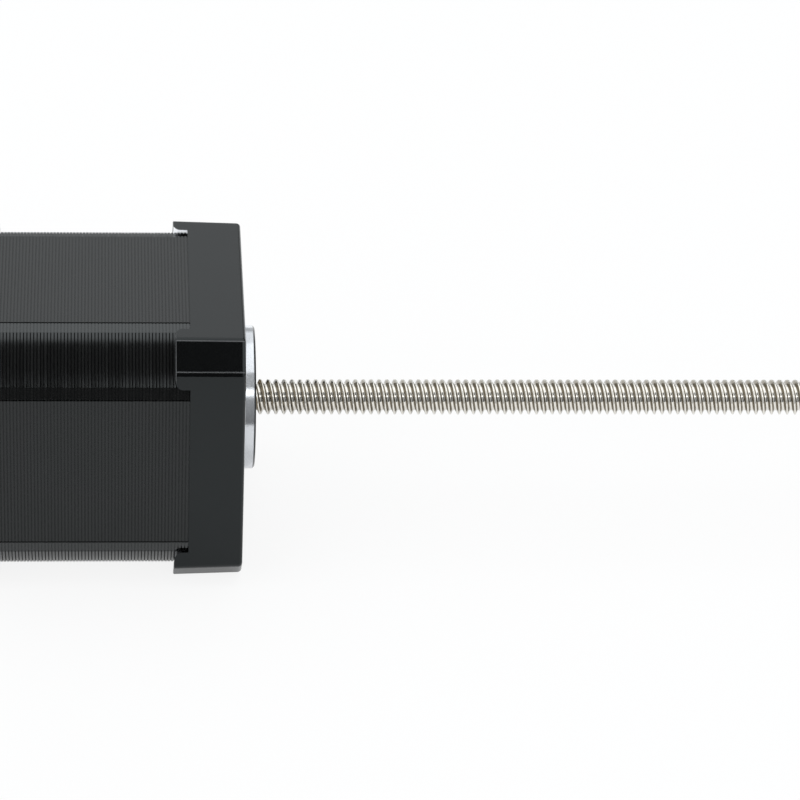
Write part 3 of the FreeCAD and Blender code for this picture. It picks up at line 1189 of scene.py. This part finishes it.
@dataclass
class LaminationStack:
    """Stack of punched sheets: flats, grooves and lobes outside, toothed poles inside."""

    start: float
    end: float
    flat: float
    lobe_radius: float = 25.25
    lobe_start: float = 14.65
    flat_reach: float = 12.5
    groove_width: float = 0.26
    groove_depth: float = 0.16
    groove_rim: float = 0.04
    bore: float = 13.2
    poles: int = 8
    teeth: int = 6
    tooth_pitch_deg: float = 7.2
    tooth_share: float = 0.45
    tooth_depth: float = 0.6
    shoe: float = 1.5
    shoe_steps: int = 3
    neck: float = 4.2
    slot_reach: float = 18.3
    hole_pitch: float = 31.0
    hole_radius: float = 1.65
    hole_steps: int = 24
    sheets: int = 62
    joint_width: float = 0.15
    joint_depth: float = 0.085
    lobe_joint_depth: float = 0.18
    joint_slope: float = 0.03
    joint_run: float = 0.3
    stray: float = 0.006
    sharp_deg: float = 20.0
    arc_steps: int = 22
    seed: int = 17

    def outline(self) -> list[Pair]:
        """Outside of a sheet.

        Returns:
            Points across the stack, all round.
        """
        first = math.asin(self.lobe_start / self.lobe_radius)
        half = [
            (self.flat, self.flat_reach), (self.flat - self.groove_depth, self.flat_reach),
            (self.flat - self.groove_rim, self.flat_reach + self.groove_width),
        ]
        points = []
        for quarter in range(4):
            side = [(self.lobe_radius * math.cos(first), -self.lobe_start)]
            side += [(level, -reach) for level, reach in reversed(half)] + half
            for step in range(self.arc_steps):
                turn = first + (math.pi / 2 - 2 * first) * step / self.arc_steps
                side.append((self.lobe_radius * math.cos(turn), self.lobe_radius * math.sin(turn)))
            points += rotated(side, quarter * math.pi / 2)
        return points

    def pole_outline(self) -> list[Pair]:
        """Slots, necks, shoes and teeth, as one outline round the bore.

        Returns:
            Points across the stack, all round.
        """
        spread = math.pi / self.poles
        back = self.bore + self.shoe
        pitch = math.radians(self.tooth_pitch_deg)
        tooth = pitch * self.tooth_share
        mouth = (2 * spread - (pitch * (self.teeth - 1) + tooth)) / 2 * self.bore
        gap = (pitch - tooth) / 2 * self.bore
        flank = self.neck / 2
        half = [(self.slot_reach, flank), (math.sqrt(back ** 2 - flank ** 2), flank)]
        first = math.asin(flank / back)
        last = spread - math.asin(mouth / back)
        for step in range(1, self.shoe_steps + 1):
            turn = first + (last - first) * step / self.shoe_steps
            half.append((back * math.cos(turn), back * math.sin(turn)))
        turn = spread - math.asin(mouth / self.bore)
        half.append((self.bore * math.cos(turn), self.bore * math.sin(turn)))
        for place in range(self.teeth // 2 - 1, -1, -1):
            for side in (1, -1):
                radii = (self.bore, self.bore + self.tooth_depth)
                for radius in radii if side > 0 else reversed(radii):
                    turn = pitch * place + side * math.asin(gap / radius)
                    if turn > 0:
                        half.append((radius * math.cos(turn), radius * math.sin(turn)))
        points = []
        for pole in range(self.poles):
            side = [(self.slot_reach, -self.slot_reach * math.tan(spread))]
            side += [(y, -z) for y, z in half]
            side += list(reversed(half))
            points += rotated(side, 2 * spread * pole)
        return points

    def build(self) -> Draft:
        """Model the stack: one sheet, copied along the axis, each a little astray.

        Returns:
            The stack in place.
        """
        draft = Draft()
        bm = draft.bm
        pitch = (self.end - self.start) / self.sheets
        ring = draft.chain([(self.start, y, z) for y, z in self.outline()], closed=True)
        slope = self.joint_slope
        land, groove = pitch - self.joint_width, self.joint_width - 2 * slope
        for run, sunk in ((land, 0), (slope, 1), (groove, 0), (slope, -1)):
            ring = draft.extrude(ring, (run, 0, 0))
            self.sink(ring, sunk)
        count = 1
        while count < self.sheets:
            more = min(count, self.sheets - count)
            limit = self.start + more * pitch + TOUCH
            faces = [face for face in bm.faces if all(vert.co.x < limit for vert in face.verts)]
            verts = {vert for face in faces for vert in face.verts}
            edges = {edge for face in faces for edge in face.edges}
            copy = bmesh.ops.duplicate(bm, geom=list(verts) + list(edges) + faces)["geom"]
            moved = [item for item in copy if isinstance(item, BMVert)]
            bmesh.ops.translate(bm, vec=(count * pitch, 0, 0), verts=moved)
            bmesh.ops.remove_doubles(bm, verts=bm.verts, dist=TOUCH)
            count += more
        self.scatter(draft, pitch)
        inner = draft.chain([(self.start, y, z) for y, z in self.pole_outline()], closed=True)
        draft.extrude(inner, (self.end - self.start, 0, 0))
        for y, z in CORNERS:
            centre = (y * self.hole_pitch / 2, z * self.hole_pitch / 2)
            hole = [(self.start, self.hole_radius), (self.end, self.hole_radius)]
            draft.lathe(hole, self.hole_steps, centre)
        draft.fill(X, self.start)
        draft.fill(X, self.end)
        return draft

    def sink(self, ring: Sequence[BMEdge], sunk: int) -> None:
        """Sink an outline into the joint between two sheets, or raise it again.

        Args:
            ring: The outline's edges.
            sunk: One to sink it, minus one to raise it, nought to leave it.
        """
        lobe = self.lobe_joint_depth / self.lobe_radius
        flat = self.joint_depth / self.flat
        for vert in {vert for edge in ring for vert in edge.verts}:
            on_lobe = min(abs(vert.co.y), abs(vert.co.z)) > self.lobe_start - self.joint_run
            vert.co.yz = vert.co.yz * (1 - (lobe if on_lobe else flat)) ** sunk

    def scatter(self, draft: Draft, pitch: float) -> None:
        """Shift each sheet a little across the stack, as punched sheets lie.

        Args:
            draft: The mesh with the sheets' edges.
            pitch: Thickness of a sheet.
        """
        rng = random.Random(self.seed)
        shifts = [(rng.uniform(-1, 1), rng.uniform(-1, 1)) for _ in range(self.sheets)]
        for vert in draft.bm.verts:
            sheet = int((vert.co.x - self.start + self.joint_slope / 2) / pitch)
            if 0 < sheet < self.sheets - 1:
                vert.co.y += shifts[sheet][0] * self.stray
                vert.co.z += shifts[sheet][1] * self.stray

    def dress(self, draft: Draft) -> bpy.types.Object:
        """Coat the sheets' edges.

        Args:
            draft: The stack.

        Returns:
            The piece.
        """
        pitch = (self.end - self.start) / self.sheets
        finishes = [
            replace(finish, pitch=pitch, start=self.start - self.joint_width / 2)
            for finish in (SHEET_BLACK, LOBE_BLACK, JOINT_BLACK)
        ]
        for face in draft.bm.faces:
            middle = face.calc_center_median()
            across = min(abs(middle.y), abs(middle.z))
            if middle.yz.length > self.flat + TOUCH and across > self.flat_reach:
                between = (middle.x - self.start) % pitch > pitch - self.joint_width
                sunk = between and across > self.lobe_start - self.joint_run
                face.material_index = (SheetFace.JOINT if sunk else SheetFace.LOBE).value
        piece = draft.finish("lamination_sheets", finishes, self.sharp_deg)
        return settle(piece, "motor", "stator_laminations")


@dataclass
class LeadScrew:
    """Long screw with a rolled right-hand thread."""

    start: float
    end: float
    radius: float
    pitch: float = 1.2192
    starts: int = 2
    depth: float = 0.68
    crest: float = 0.24
    root: float = 0.40
    rounding: float = 0.14
    round_steps: int = 2
    chamfer: float = 0.7
    thread_place: float = 0.15
    sharp_deg: float = 50.0
    steps: int = 36
    spun_turns: int = 21

    def build(self) -> Draft:
        """Model the thread: the profile of one lead swept along its helix, cut at both ends.

        Returns:
            The screw in place.
        """
        draft = Draft()
        bm = draft.bm
        lead = self.pitch * self.starts
        base = (math.floor((self.start - self.thread_place) / lead) - 1) * lead + self.thread_place
        ridge = self.ridge()
        profile = [(base + ridge[0][0], ridge[0][1])]
        for index in range(self.starts):
            profile += [(base + index * self.pitch + x, radius) for x, radius in ridge[1:]]
        edges = draft.chain([(x, radius, 0) for x, radius in profile])
        verts = list({vert for edge in edges for vert in edge.verts})
        bmesh.ops.spin(
            bm, geom=verts + edges, cent=(0, 0, 0), axis=AXIS, angle=2 * math.pi * self.spun_turns,
            steps=self.steps * self.spun_turns, dvec=AXIS * lead / self.steps, use_merge=False,
        )
        turns = self.spun_turns
        while base + (turns - 1) * lead < self.end:
            copy = bmesh.ops.duplicate(bm, geom=draft.everything())["geom"]
            moved = [item for item in copy if isinstance(item, BMVert)]
            bmesh.ops.translate(bm, vec=AXIS * (turns * lead), verts=moved)
            turns *= 2
        bmesh.ops.remove_doubles(bm, verts=bm.verts, dist=TOUCH)
        for place, normal in ((self.start, -AXIS), (self.end, AXIS)):
            bmesh.ops.bisect_plane(
                bm, geom=draft.everything(), dist=CUT, plane_co=AXIS * place, plane_no=normal,
                clear_outer=True,
            )
            bmesh.ops.holes_fill(bm, edges=draft.open_edges(X, place), sides=0)
        self.chamfer_ends(draft)
        return draft

    def ridge(self) -> list[Pair]:
        """Profile of one ridge from groove to groove, with round crest and round root.

        Returns:
            Points as place along the screw, with the crest at nought, and radius.
        """
        half = self.pitch / 2
        inner = self.radius - self.depth
        flank = half - self.crest / 2 - self.root / 2
        slope = math.atan2(flank, self.depth)
        setback = self.rounding * math.tan((math.pi / 2 - slope) / 2)
        rise = [(-half, inner)]
        root = (1, self.root / 2 - half, inner)
        crest = (-1, -self.crest / 2, self.radius)
        for sign, place, level in (root, crest):
            for step in range(self.round_steps + 1)[::sign]:
                angle = (math.pi / 2 - slope) * step / self.round_steps
                along = place - sign * (setback - self.rounding * math.sin(angle))
                rise.append((along, level + sign * self.rounding * (1 - math.cos(angle))))
        rise.append((0.0, self.radius))
        return rise + [(-x, radius) for x, radius in reversed(rise[:-1])]

    def chamfer_ends(self, draft: Draft) -> None:
        """Turn the thread down to a cone at both ends.

        Args:
            draft: The screw.
        """
        for vert in draft.bm.verts:
            inset = min(vert.co.x - self.start, self.end - vert.co.x)
            room = self.radius - self.chamfer + max(inset, 0.0)
            reach = vert.co.yz.length
            if reach > room:
                vert.co.yz = vert.co.yz * (room / reach)

    def dress(self, draft: Draft) -> bpy.types.Object:
        """Bare rolled steel, with painted shade on the thread's flanks.

        Args:
            draft: The screw.

        Returns:
            The piece.
        """
        finish = replace(
            THREAD_STEEL, ridge=self.pitch, starts=self.starts, place=self.thread_place,
        )
        piece = draft.finish("threaded_lead_screw", [finish], self.sharp_deg)
        return settle(piece, "screw", "lead_screw")


@dataclass
class TurnedPart:
    """A piece turned about the motor's axis from one closed profile."""

    node: str
    body: str
    finish: Finish
    profile: Profile
    steps: int = 96

    def build(self) -> Draft:
        """Turn the profile.

        Returns:
            The piece in place.
        """
        draft = Draft()
        draft.lathe(self.profile, self.steps, closed=True)
        return draft

    def dress(self, draft: Draft) -> bpy.types.Object:
        """Give the piece its finish.

        Args:
            draft: The piece.

        Returns:
            The finished piece.
        """
        piece = draft.finish("turned_" + self.node, [self.finish])
        return settle(piece, self.body, self.node)


@dataclass
class CaseScrews:
    """Four cheese-head screws in the rear cap, with cross recesses."""

    top: float
    tip: float
    pitch: float = 31.0
    head_radius: float = 2.75
    head_height: float = 2.0
    crown: float = 0.45
    crown_steps: int = 4
    shank_radius: float = 1.5
    tip_chamfer: float = 0.4
    arm: float = 0.36
    reach: float = 1.35
    recess: float = 1.1
    recess_taper: float = 0.5
    steps: int = 40
    seed: int = 5

    def build(self) -> Draft:
        """Model the screws, each turned its own way.

        Returns:
            The screws in place.
        """
        draft = Draft()
        rng = random.Random(self.seed)
        for y, z in CORNERS:
            self.screw(draft, (y * self.pitch / 2, z * self.pitch / 2), rng.uniform(0, math.pi / 2))
        for place in (self.top, self.top + self.recess, self.tip):
            draft.fill(X, place)
        return draft

    def screw(self, draft: Draft, centre: Pair, turn: float) -> None:
        """One screw, with its recess still open at top and bottom.

        Args:
            draft: The mesh to add to.
            centre: Place of its axis.
            turn: How far the recess is turned.
        """
        y, z = centre
        crown = []
        for step in range(self.crown_steps + 1):
            angle = math.pi / 2 * step / self.crown_steps
            crown.append((
                self.top + self.crown * (1 - math.sin(angle)),
                self.head_radius - self.crown * (1 - math.cos(angle)),
            ))
        seat = self.top + self.head_height
        profile = list(reversed(crown)) + [
            (seat, self.head_radius), (seat, self.shank_radius),
            (self.tip - self.tip_chamfer, self.shank_radius),
            (self.tip, self.shank_radius - self.tip_chamfer),
        ]
        draft.lathe(profile, self.steps, centre)
        cross = []
        for quarter in range(4):
            arm = [(self.reach, -self.arm), (self.reach, self.arm), (self.arm, self.arm)]
            cross += rotated(arm, turn + quarter * math.pi / 2)
        mouth = draft.chain([(self.top, y + across, z + up) for across, up in cross], closed=True)
        draft.extrude(mouth, (self.recess, 0, 0), self.recess_taper, (0, y, z))

    def dress(self, draft: Draft) -> bpy.types.Object:
        """Blackened steel.

        Args:
            draft: The screws.

        Returns:
            The piece.
        """
        piece = draft.finish("cheese_head_screws", [CASE_SCREW_BLACK])
        return settle(piece, "motor", "case_screws")


@dataclass
class Header:
    """Plug header: an open moulded box with latch windows, and its square pins."""

    low: Vector
    high: Vector
    pins: int = 6
    pin_pitch: float = 2.0
    pin_size: float = 0.5
    pin_inset: float = 1.2
    pin_tip: float = 0.35
    pin_taper: float = 0.5
    wall: float = 0.8
    back: float = 1.0
    latch_width: float = 3.0
    latch_depth: float = 2.2
    latch_spacing: float = 8.0
    edge: float = 0.14
    edge_segments: int = 3

    def build_box(self) -> Draft:
        """Model the moulded box, open to +Y.

        Returns:
            The box in place.
        """
        draft = Draft()
        bm = draft.bm
        size = self.high - self.low
        bmesh.ops.create_cube(bm, size=1.0)
        bmesh.ops.scale(bm, vec=size, verts=bm.verts)
        bmesh.ops.translate(bm, vec=(self.low + self.high) / 2, verts=bm.verts)
        sides = [e for e in bm.edges if abs(e.verts[0].co.y - e.verts[1].co.y) > size.y / 2]
        mouth = [face for face in bm.faces if face.normal.y > FACING]
        bmesh.ops.inset_region(bm, faces=mouth, thickness=self.wall, use_even_offset=True)
        made = bmesh.ops.extrude_face_region(bm, geom=mouth)["geom"]
        bmesh.ops.delete(bm, geom=mouth, context="FACES_ONLY")
        floor = [item for item in made if isinstance(item, BMVert)]
        bmesh.ops.translate(bm, vec=(0, self.back - size.y, 0), verts=floor)
        bmesh.ops.bevel(
            bm, geom=sides, offset=self.edge, segments=self.edge_segments, profile=0.5,
            affect="EDGES", material=-1,
        )
        spare = self.wall / 2
        for side in (-1, 1):
            middle = side * self.latch_spacing / 2
            draft.notch(
                X, Z, Y, (middle - self.latch_width / 2, middle + self.latch_width / 2),
                (self.high.y - self.latch_depth, self.high.y),
                (self.low.x - spare, self.low.x + self.wall + spare),
            )
        return draft

    def build_pins(self, board: float) -> Draft:
        """Model the pins: a blade with a tapered tip, and a tail down to the board.

        Args:
            board: Place of the board's face along X.

        Returns:
            The pins in place.
        """
        draft = Draft()
        bm = draft.bm
        half = self.pin_size / 2
        middle = (self.low.x + self.high.x) / 2
        low, _ = span("connector_pins")
        for index in range(self.pins):
            z = (index - (self.pins - 1) / 2) * self.pin_pitch
            made = bmesh.ops.create_cube(bm, size=self.pin_size)["verts"]
            bmesh.ops.translate(bm, vec=(middle, low.y + half, z), verts=made)
            faces = {face for vert in made for face in vert.link_faces}
            blade = [face for face in faces if face.normal.y > FACING]
            tail = [face for face in faces if face.normal.x < -FACING]
            straight = self.high.y - self.pin_inset - self.pin_tip - low.y - self.pin_size
            self.draw(draft, tail, Vector((board - middle + half, 0, 0)))
            blade = self.draw(draft, blade, Vector((0, straight, 0)))
            self.draw(draft, blade, Vector((0, self.pin_tip, 0)), self.pin_taper)
        return draft

    @staticmethod
    def draw(
        draft: Draft, faces: Sequence[BMFace], shift: Vector, scale: float = 1.0,
    ) -> list[BMFace]:
        """Draw faces out and shrink their far ends.

        Args:
            draft: The mesh.
            faces: The faces.
            shift: How far they go.
            scale: Size of the far end.

        Returns:
            The far faces.
        """
        made = bmesh.ops.extrude_face_region(draft.bm, geom=list(faces))["geom"]
        bmesh.ops.delete(draft.bm, geom=list(faces), context="FACES_ONLY")
        verts = [item for item in made if isinstance(item, BMVert)]
        middle = sum((vert.co for vert in verts), Vector()) / len(verts)
        bmesh.ops.scale(draft.bm, vec=(scale,) * 3, space=Matrix.Translation(-middle), verts=verts)
        bmesh.ops.translate(draft.bm, vec=shift, verts=verts)
        return [item for item in made if isinstance(item, BMFace)]

    def dress(self, box: Draft, pins: Draft) -> list[bpy.types.Object]:
        """Moulded plastic and tinned metal.

        Args:
            box: The moulded box.
            pins: The pins.

        Returns:
            The two pieces.
        """
        shell = box.finish("plug_header_box", [HEADER_PLASTIC])
        metal = pins.finish("plug_header_pins", [PIN_TIN])
        return [
            settle(shell, "motor", "connector_housing"),
            settle(metal, "motor", "connector_pins"),
        ]


@dataclass
class InnerWorks:
    """Nodes inside the motor, which keep their solids."""

    finishes: dict[str, Finish] = field(default_factory=lambda: {
        "front_bobbin": BOBBIN_PLASTIC, "rear_bobbin": BOBBIN_PLASTIC,
        "winding_phase_a": COIL_COPPER, "winding_phase_b": COIL_COPPER,
        "winding_board": BOARD_GREEN, "wave_spring": SPRING_STEEL,
        "rotor_cup_front": ROTOR_STEEL, "rotor_cup_rear": ROTOR_STEEL,
        "front_bearing_balls": BEARING_STEEL, "rear_bearing_balls": BEARING_STEEL,
        "front_bearing_cage": CAGE_STEEL, "rear_bearing_cage": CAGE_STEEL,
    })

    def dress(self) -> None:
        """Give each node its finish."""
        for node, finish in self.finishes.items():
            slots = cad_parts[node].data.materials
            slots.clear()
            slots.append(finish.material())
            log.info("%s keeps its solid, %s", node, finish.name)


@dataclass
class RotorTrain:
    """Sleeve, nut, magnet, shims and the turned rings of both bearings."""

    nut_flange: float = 1.4
    nut_edge: float = 0.3
    nut_radius: float = 4.0
    nut_clearance: float = 0.05
    sleeve_fit: float = 0.01
    shaft_radius: float = 5.0
    ring_edge: float = 0.2
    ring_edge_share: float = 0.25
    outer_races: tuple[float, float, float] = (9.5, 8.47, 7.97)
    inner_races: tuple[float, float, float] = (5.0, 6.03, 6.53)
    shoulder_width: float = 1.0
    shield_bore: float = 6.23

    def parts(self) -> list[TurnedPart]:
        """Every turned piece, from the place of its node.

        Returns:
            The pieces.
        """
        made = [self.nut()]
        low, high = span("rotor_sleeve")
        sleeve = self.ring(low.x, high.x, self.nut_radius + self.sleeve_fit, high.z)
        made.append(TurnedPart("rotor_sleeve", "rotor", SLEEVE_STEEL, sleeve))
        low, high = span("rotor_magnet")
        magnet = self.ring(low.x, high.x, self.shaft_radius, high.z)
        made.append(TurnedPart("rotor_magnet", "rotor", MAGNET_NICKEL, magnet))
        for end in End:
            node = end.named("rotor_shim")
            low, high = span(node)
            shim = self.ring(low.x, high.x, self.shaft_radius, high.z)
            made.append(TurnedPart(node, "rotor", SLEEVE_STEEL, shim))
            made += self.bearing(end)
        return made

    def ring(self, start: float, end: float, inner: float, outer: float) -> list[Pair]:
        """Closed profile of a ring with broken edges.

        Args:
            start: Lower end.
            end: Upper end.
            inner: Inner radius.
            outer: Outer radius.

        Returns:
            The profile.
        """
        edge = min(self.ring_edge, self.ring_edge_share * min(end - start, outer - inner))
        return [
            (start, inner + edge), (start, outer - edge), (start + edge, outer),
            (end - edge, outer), (end, outer - edge), (end, inner + edge),
            (end - edge, inner), (start + edge, inner),
        ]

    def nut(self) -> TurnedPart:
        """The flanged nut.

        Returns:
            The piece.
        """
        low, high = span("drive_nut")
        bore = span("lead_screw")[1].z + self.nut_clearance
        seat = high.x - self.nut_flange
        edge = self.nut_edge
        profile = [
            (low.x, bore), (low.x, self.nut_radius), (seat, self.nut_radius), (seat, high.z),
            (high.x - edge, high.z), (high.x, high.z - edge), (high.x, bore + edge),
            (high.x - edge, bore),
        ]
        return TurnedPart("drive_nut", "rotor", NUT_BRONZE, profile)

    def bearing(self, end: End) -> list[TurnedPart]:
        """Rings and shield of one bearing.

        Args:
            end: The bearing's end of the motor.

        Returns:
            The pieces.
        """
        made = []
        low, high = span(end.named("bearing_outer_ring"))
        inside, outside = (low.x, high.x) if end is End.FRONT else (high.x, low.x)
        step = inside + end.value * self.shoulder_width
        edge = end.value * self.ring_edge
        outer = ("outer_ring", self.outer_races, "motor")
        inner = ("inner_ring", self.inner_races, "rotor")
        for ring, (wall, race, shoulder), body in (outer, inner):
            toward = math.copysign(self.ring_edge, race - wall)
            profile = [
                (inside, wall + toward), (inside + edge, wall), (outside - edge, wall),
                (outside, wall + toward), (outside, race), (step, race), (step, shoulder),
                (inside, shoulder),
            ]
            made.append(TurnedPart(end.named("bearing_" + ring), body, BEARING_STEEL, profile))
        node = end.named("bearing_shield")
        low, high = span(node)
        shield = self.ring(low.x, high.x, self.shield_bore, high.z)
        made.append(TurnedPart(node, "motor", SHIELD_STEEL, shield))
        return made


@dataclass
class Studio:
    """Floor, surroundings and camera."""

    azimuth_deg: float = -4.69
    elevation_deg: float = 32.4
    roll_deg: float = 2.56
    distance: float = 650.0
    target: Point = (24.54, 0.0, -0.58)
    lens: float = 189.85
    sensor: float = 36.0
    clip: Pair = (0.01, 50.0)
    floor_size: float = 4.0
    floor_colour: Colour = (0.93, 0.93, 0.93)
    floor_clouds: float = 300.0
    floor_dim: float = 0.98
    floor_white: float = 0.87
    floor_gloss: float = 0.40
    floor_front: float = -100.0
    tint: Colour = (0.96, 0.985, 1.0)
    dark_side: float = 0.05
    dark_flank: float = 0.80
    flank_rise: float = 0.012
    flank_edge: Pair = (0.08, 0.5)
    box_light: float = 1.36
    box_edge_deg: Pair = (69, 74)
    back_light: float = 1.03
    back_edge_deg: Pair = (127, 132)
    back_low_deg: Pair = (158, 168)
    back_side: Pair = (0.25, 0.45)
    back_low: float = 0.50
    back_flank: float = 0.15
    back_flank_low: float = 0.75
    spark_turn: float = 39.0
    spark_width: float = 10.0
    spark_light: float = 3.4
    spark_near: Pair = (0.015, 0.085)
    spark_far: Pair = (0.30, 0.42)

    def floor(self) -> None:
        """Pale table top with its edge in front, white to the camera and in reflections."""
        bm = bmesh.new()
        bmesh.ops.create_grid(bm, x_segments=1, y_segments=1, size=self.floor_size)
        middle = (0, self.floor_size + self.floor_front * MM, CAD_BOX[0][Z])
        bmesh.ops.translate(bm, vec=middle, verts=bm.verts)
        mesh = bpy.data.meshes.new("floor")
        bm.to_mesh(mesh)
        bm.free()
        material = bpy.data.materials.new("pale_floor")
        graph = Graph(material, "ShaderNodeOutputMaterial")
        clouds = graph.noise(self.floor_clouds)
        dimmer = tuple(self.floor_dim * part for part in self.floor_colour)
        pale = graph.mix(clouds, self.floor_colour, dimmer)
        plain = graph.node("ShaderNodeBsdfDiffuse", {}, {"Color": pale})
        white = graph.node("ShaderNodeEmission", {}, {"Color": (1, 1, 1), "Strength": 1.0})
        path = graph.node("ShaderNodeLightPath", output="Is Camera Ray")
        seen_through = path.out("Is Transmission Ray")
        mirrored = path.out("Is Glossy Ray").larger(seen_through) * self.floor_gloss
        share = (path * self.floor_white).larger(mirrored)
        graph.close(graph.node("ShaderNodeMixShader", {}, {0: share, 1: plain, 2: white}))
        mesh.materials.append(material)
        made = bpy.data.objects.new("floor", mesh)
        bpy.context.scene.collection.objects.link(made)

    def surroundings(self) -> None:
        """World: box overhead, card behind, dark camera side with pale flanks, one bright patch."""
        world = bpy.data.worlds.new("studio")
        bpy.context.scene.world = world
        graph = Graph(world, "ShaderNodeOutputWorld")
        sky = graph.node("ShaderNodeTexCoord", output="Generated")
        right = graph.node("ShaderNodeSeparateXYZ", {}, {0: sky}, "X")
        turn = right.out("Z").angle(right.out("Y") * -1)
        aside = right.size()
        overhead = turn.steps(*self.box_edge_deg)
        behind = turn.steps(*self.back_edge_deg)
        low = turn.steps(*self.back_low_deg)
        pale = self.dark_flank + turn * self.flank_rise
        camera_side = self.dark_side + aside.steps(*self.flank_edge) * (pale - self.dark_side)
        middle = self.back_light + low * (self.back_low - self.back_light)
        flank = self.back_flank + low * (self.back_flank_low - self.back_flank)
        back = middle + aside.steps(*self.back_side) * (flank - middle)
        above = overhead * (1 - behind)
        light = camera_side * (1 - overhead) + above * self.box_light + behind * back
        spark = 1 - ((turn - self.spark_turn) / self.spark_width).size().steps(0.0, 1.0)
        patch = right.steps(*self.spark_near) * (1 - right.steps(*self.spark_far))
        light = light + spark * patch * self.spark_light
        camera = graph.node("ShaderNodeLightPath", output="Is Camera Ray")
        strength = light * (1 - camera) + camera
        colour = graph.mix(camera, self.tint, (1, 1, 1))
        graph.close(graph.node("ShaderNodeBackground", {}, {"Color": colour, "Strength": strength}))

    def camera(self) -> None:
        """Camera at the photograph's viewing angle."""
        azimuth = math.radians(self.azimuth_deg)
        elevation = math.radians(self.elevation_deg)
        level = math.cos(elevation)
        back = Vector((math.sin(azimuth) * level, -math.cos(azimuth) * level, math.sin(elevation)))
        data = bpy.data.cameras.new("camera")
        data.lens = self.lens
        data.sensor_width = self.sensor
        data.clip_start, data.clip_end = self.clip
        camera = bpy.data.objects.new("camera", data)
        roll = Matrix.Rotation(math.radians(self.roll_deg), 3, "Z").to_quaternion()
        camera.rotation_euler = (back.to_track_quat("Z", "Y") @ roll).to_euler()
        camera.location = (Vector(self.target) + back * self.distance) * MM
        bpy.context.scene.collection.objects.link(camera)
        bpy.context.scene.camera = camera

    def build(self) -> None:
        """Set up the scene around the motor."""
        self.floor()
        self.surroundings()
        self.camera()
        bpy.context.scene.view_settings.view_transform = "Standard"
        log.info("studio set up")


def main() -> None:
    """Build and dress every piece, then the studio."""
    stack_low, stack_high = span("stator_laminations")
    front_low, front_high = span("front_end_cap")
    rear_low, _ = span("rear_end_cap")
    side = front_high.y - front_low.y
    front = FrontCap(length=-stack_high.x, side=side)
    front.dress(front.build(), stack_high.x)
    rear = RearCap(length=stack_low.x - rear_low.x, side=side)
    rear.dress(rear.build(), stack_low.x)
    stack = LaminationStack(start=stack_low.x, end=stack_high.x, flat=stack_high.z)
    stack.dress(stack.build())
    screw_low, screw_high = span("lead_screw")
    screw = LeadScrew(start=screw_low.x, end=screw_high.x, radius=screw_high.z)
    screw.dress(screw.build())
    case_low, case_high = span("case_screws")
    case = CaseScrews(top=case_low.x, tip=case_high.x)
    case.dress(case.build())
    header = Header(*span("connector_housing"))
    header.dress(header.build_box(), header.build_pins(span("connector_pins")[0].x))
    for part in RotorTrain().parts():
        part.dress(part.build())
    InnerWorks().dress()
    Studio().build()


if __name__ == "__main__":
    logging.basicConfig(level=logging.INFO, format="%(message)s")
    main()
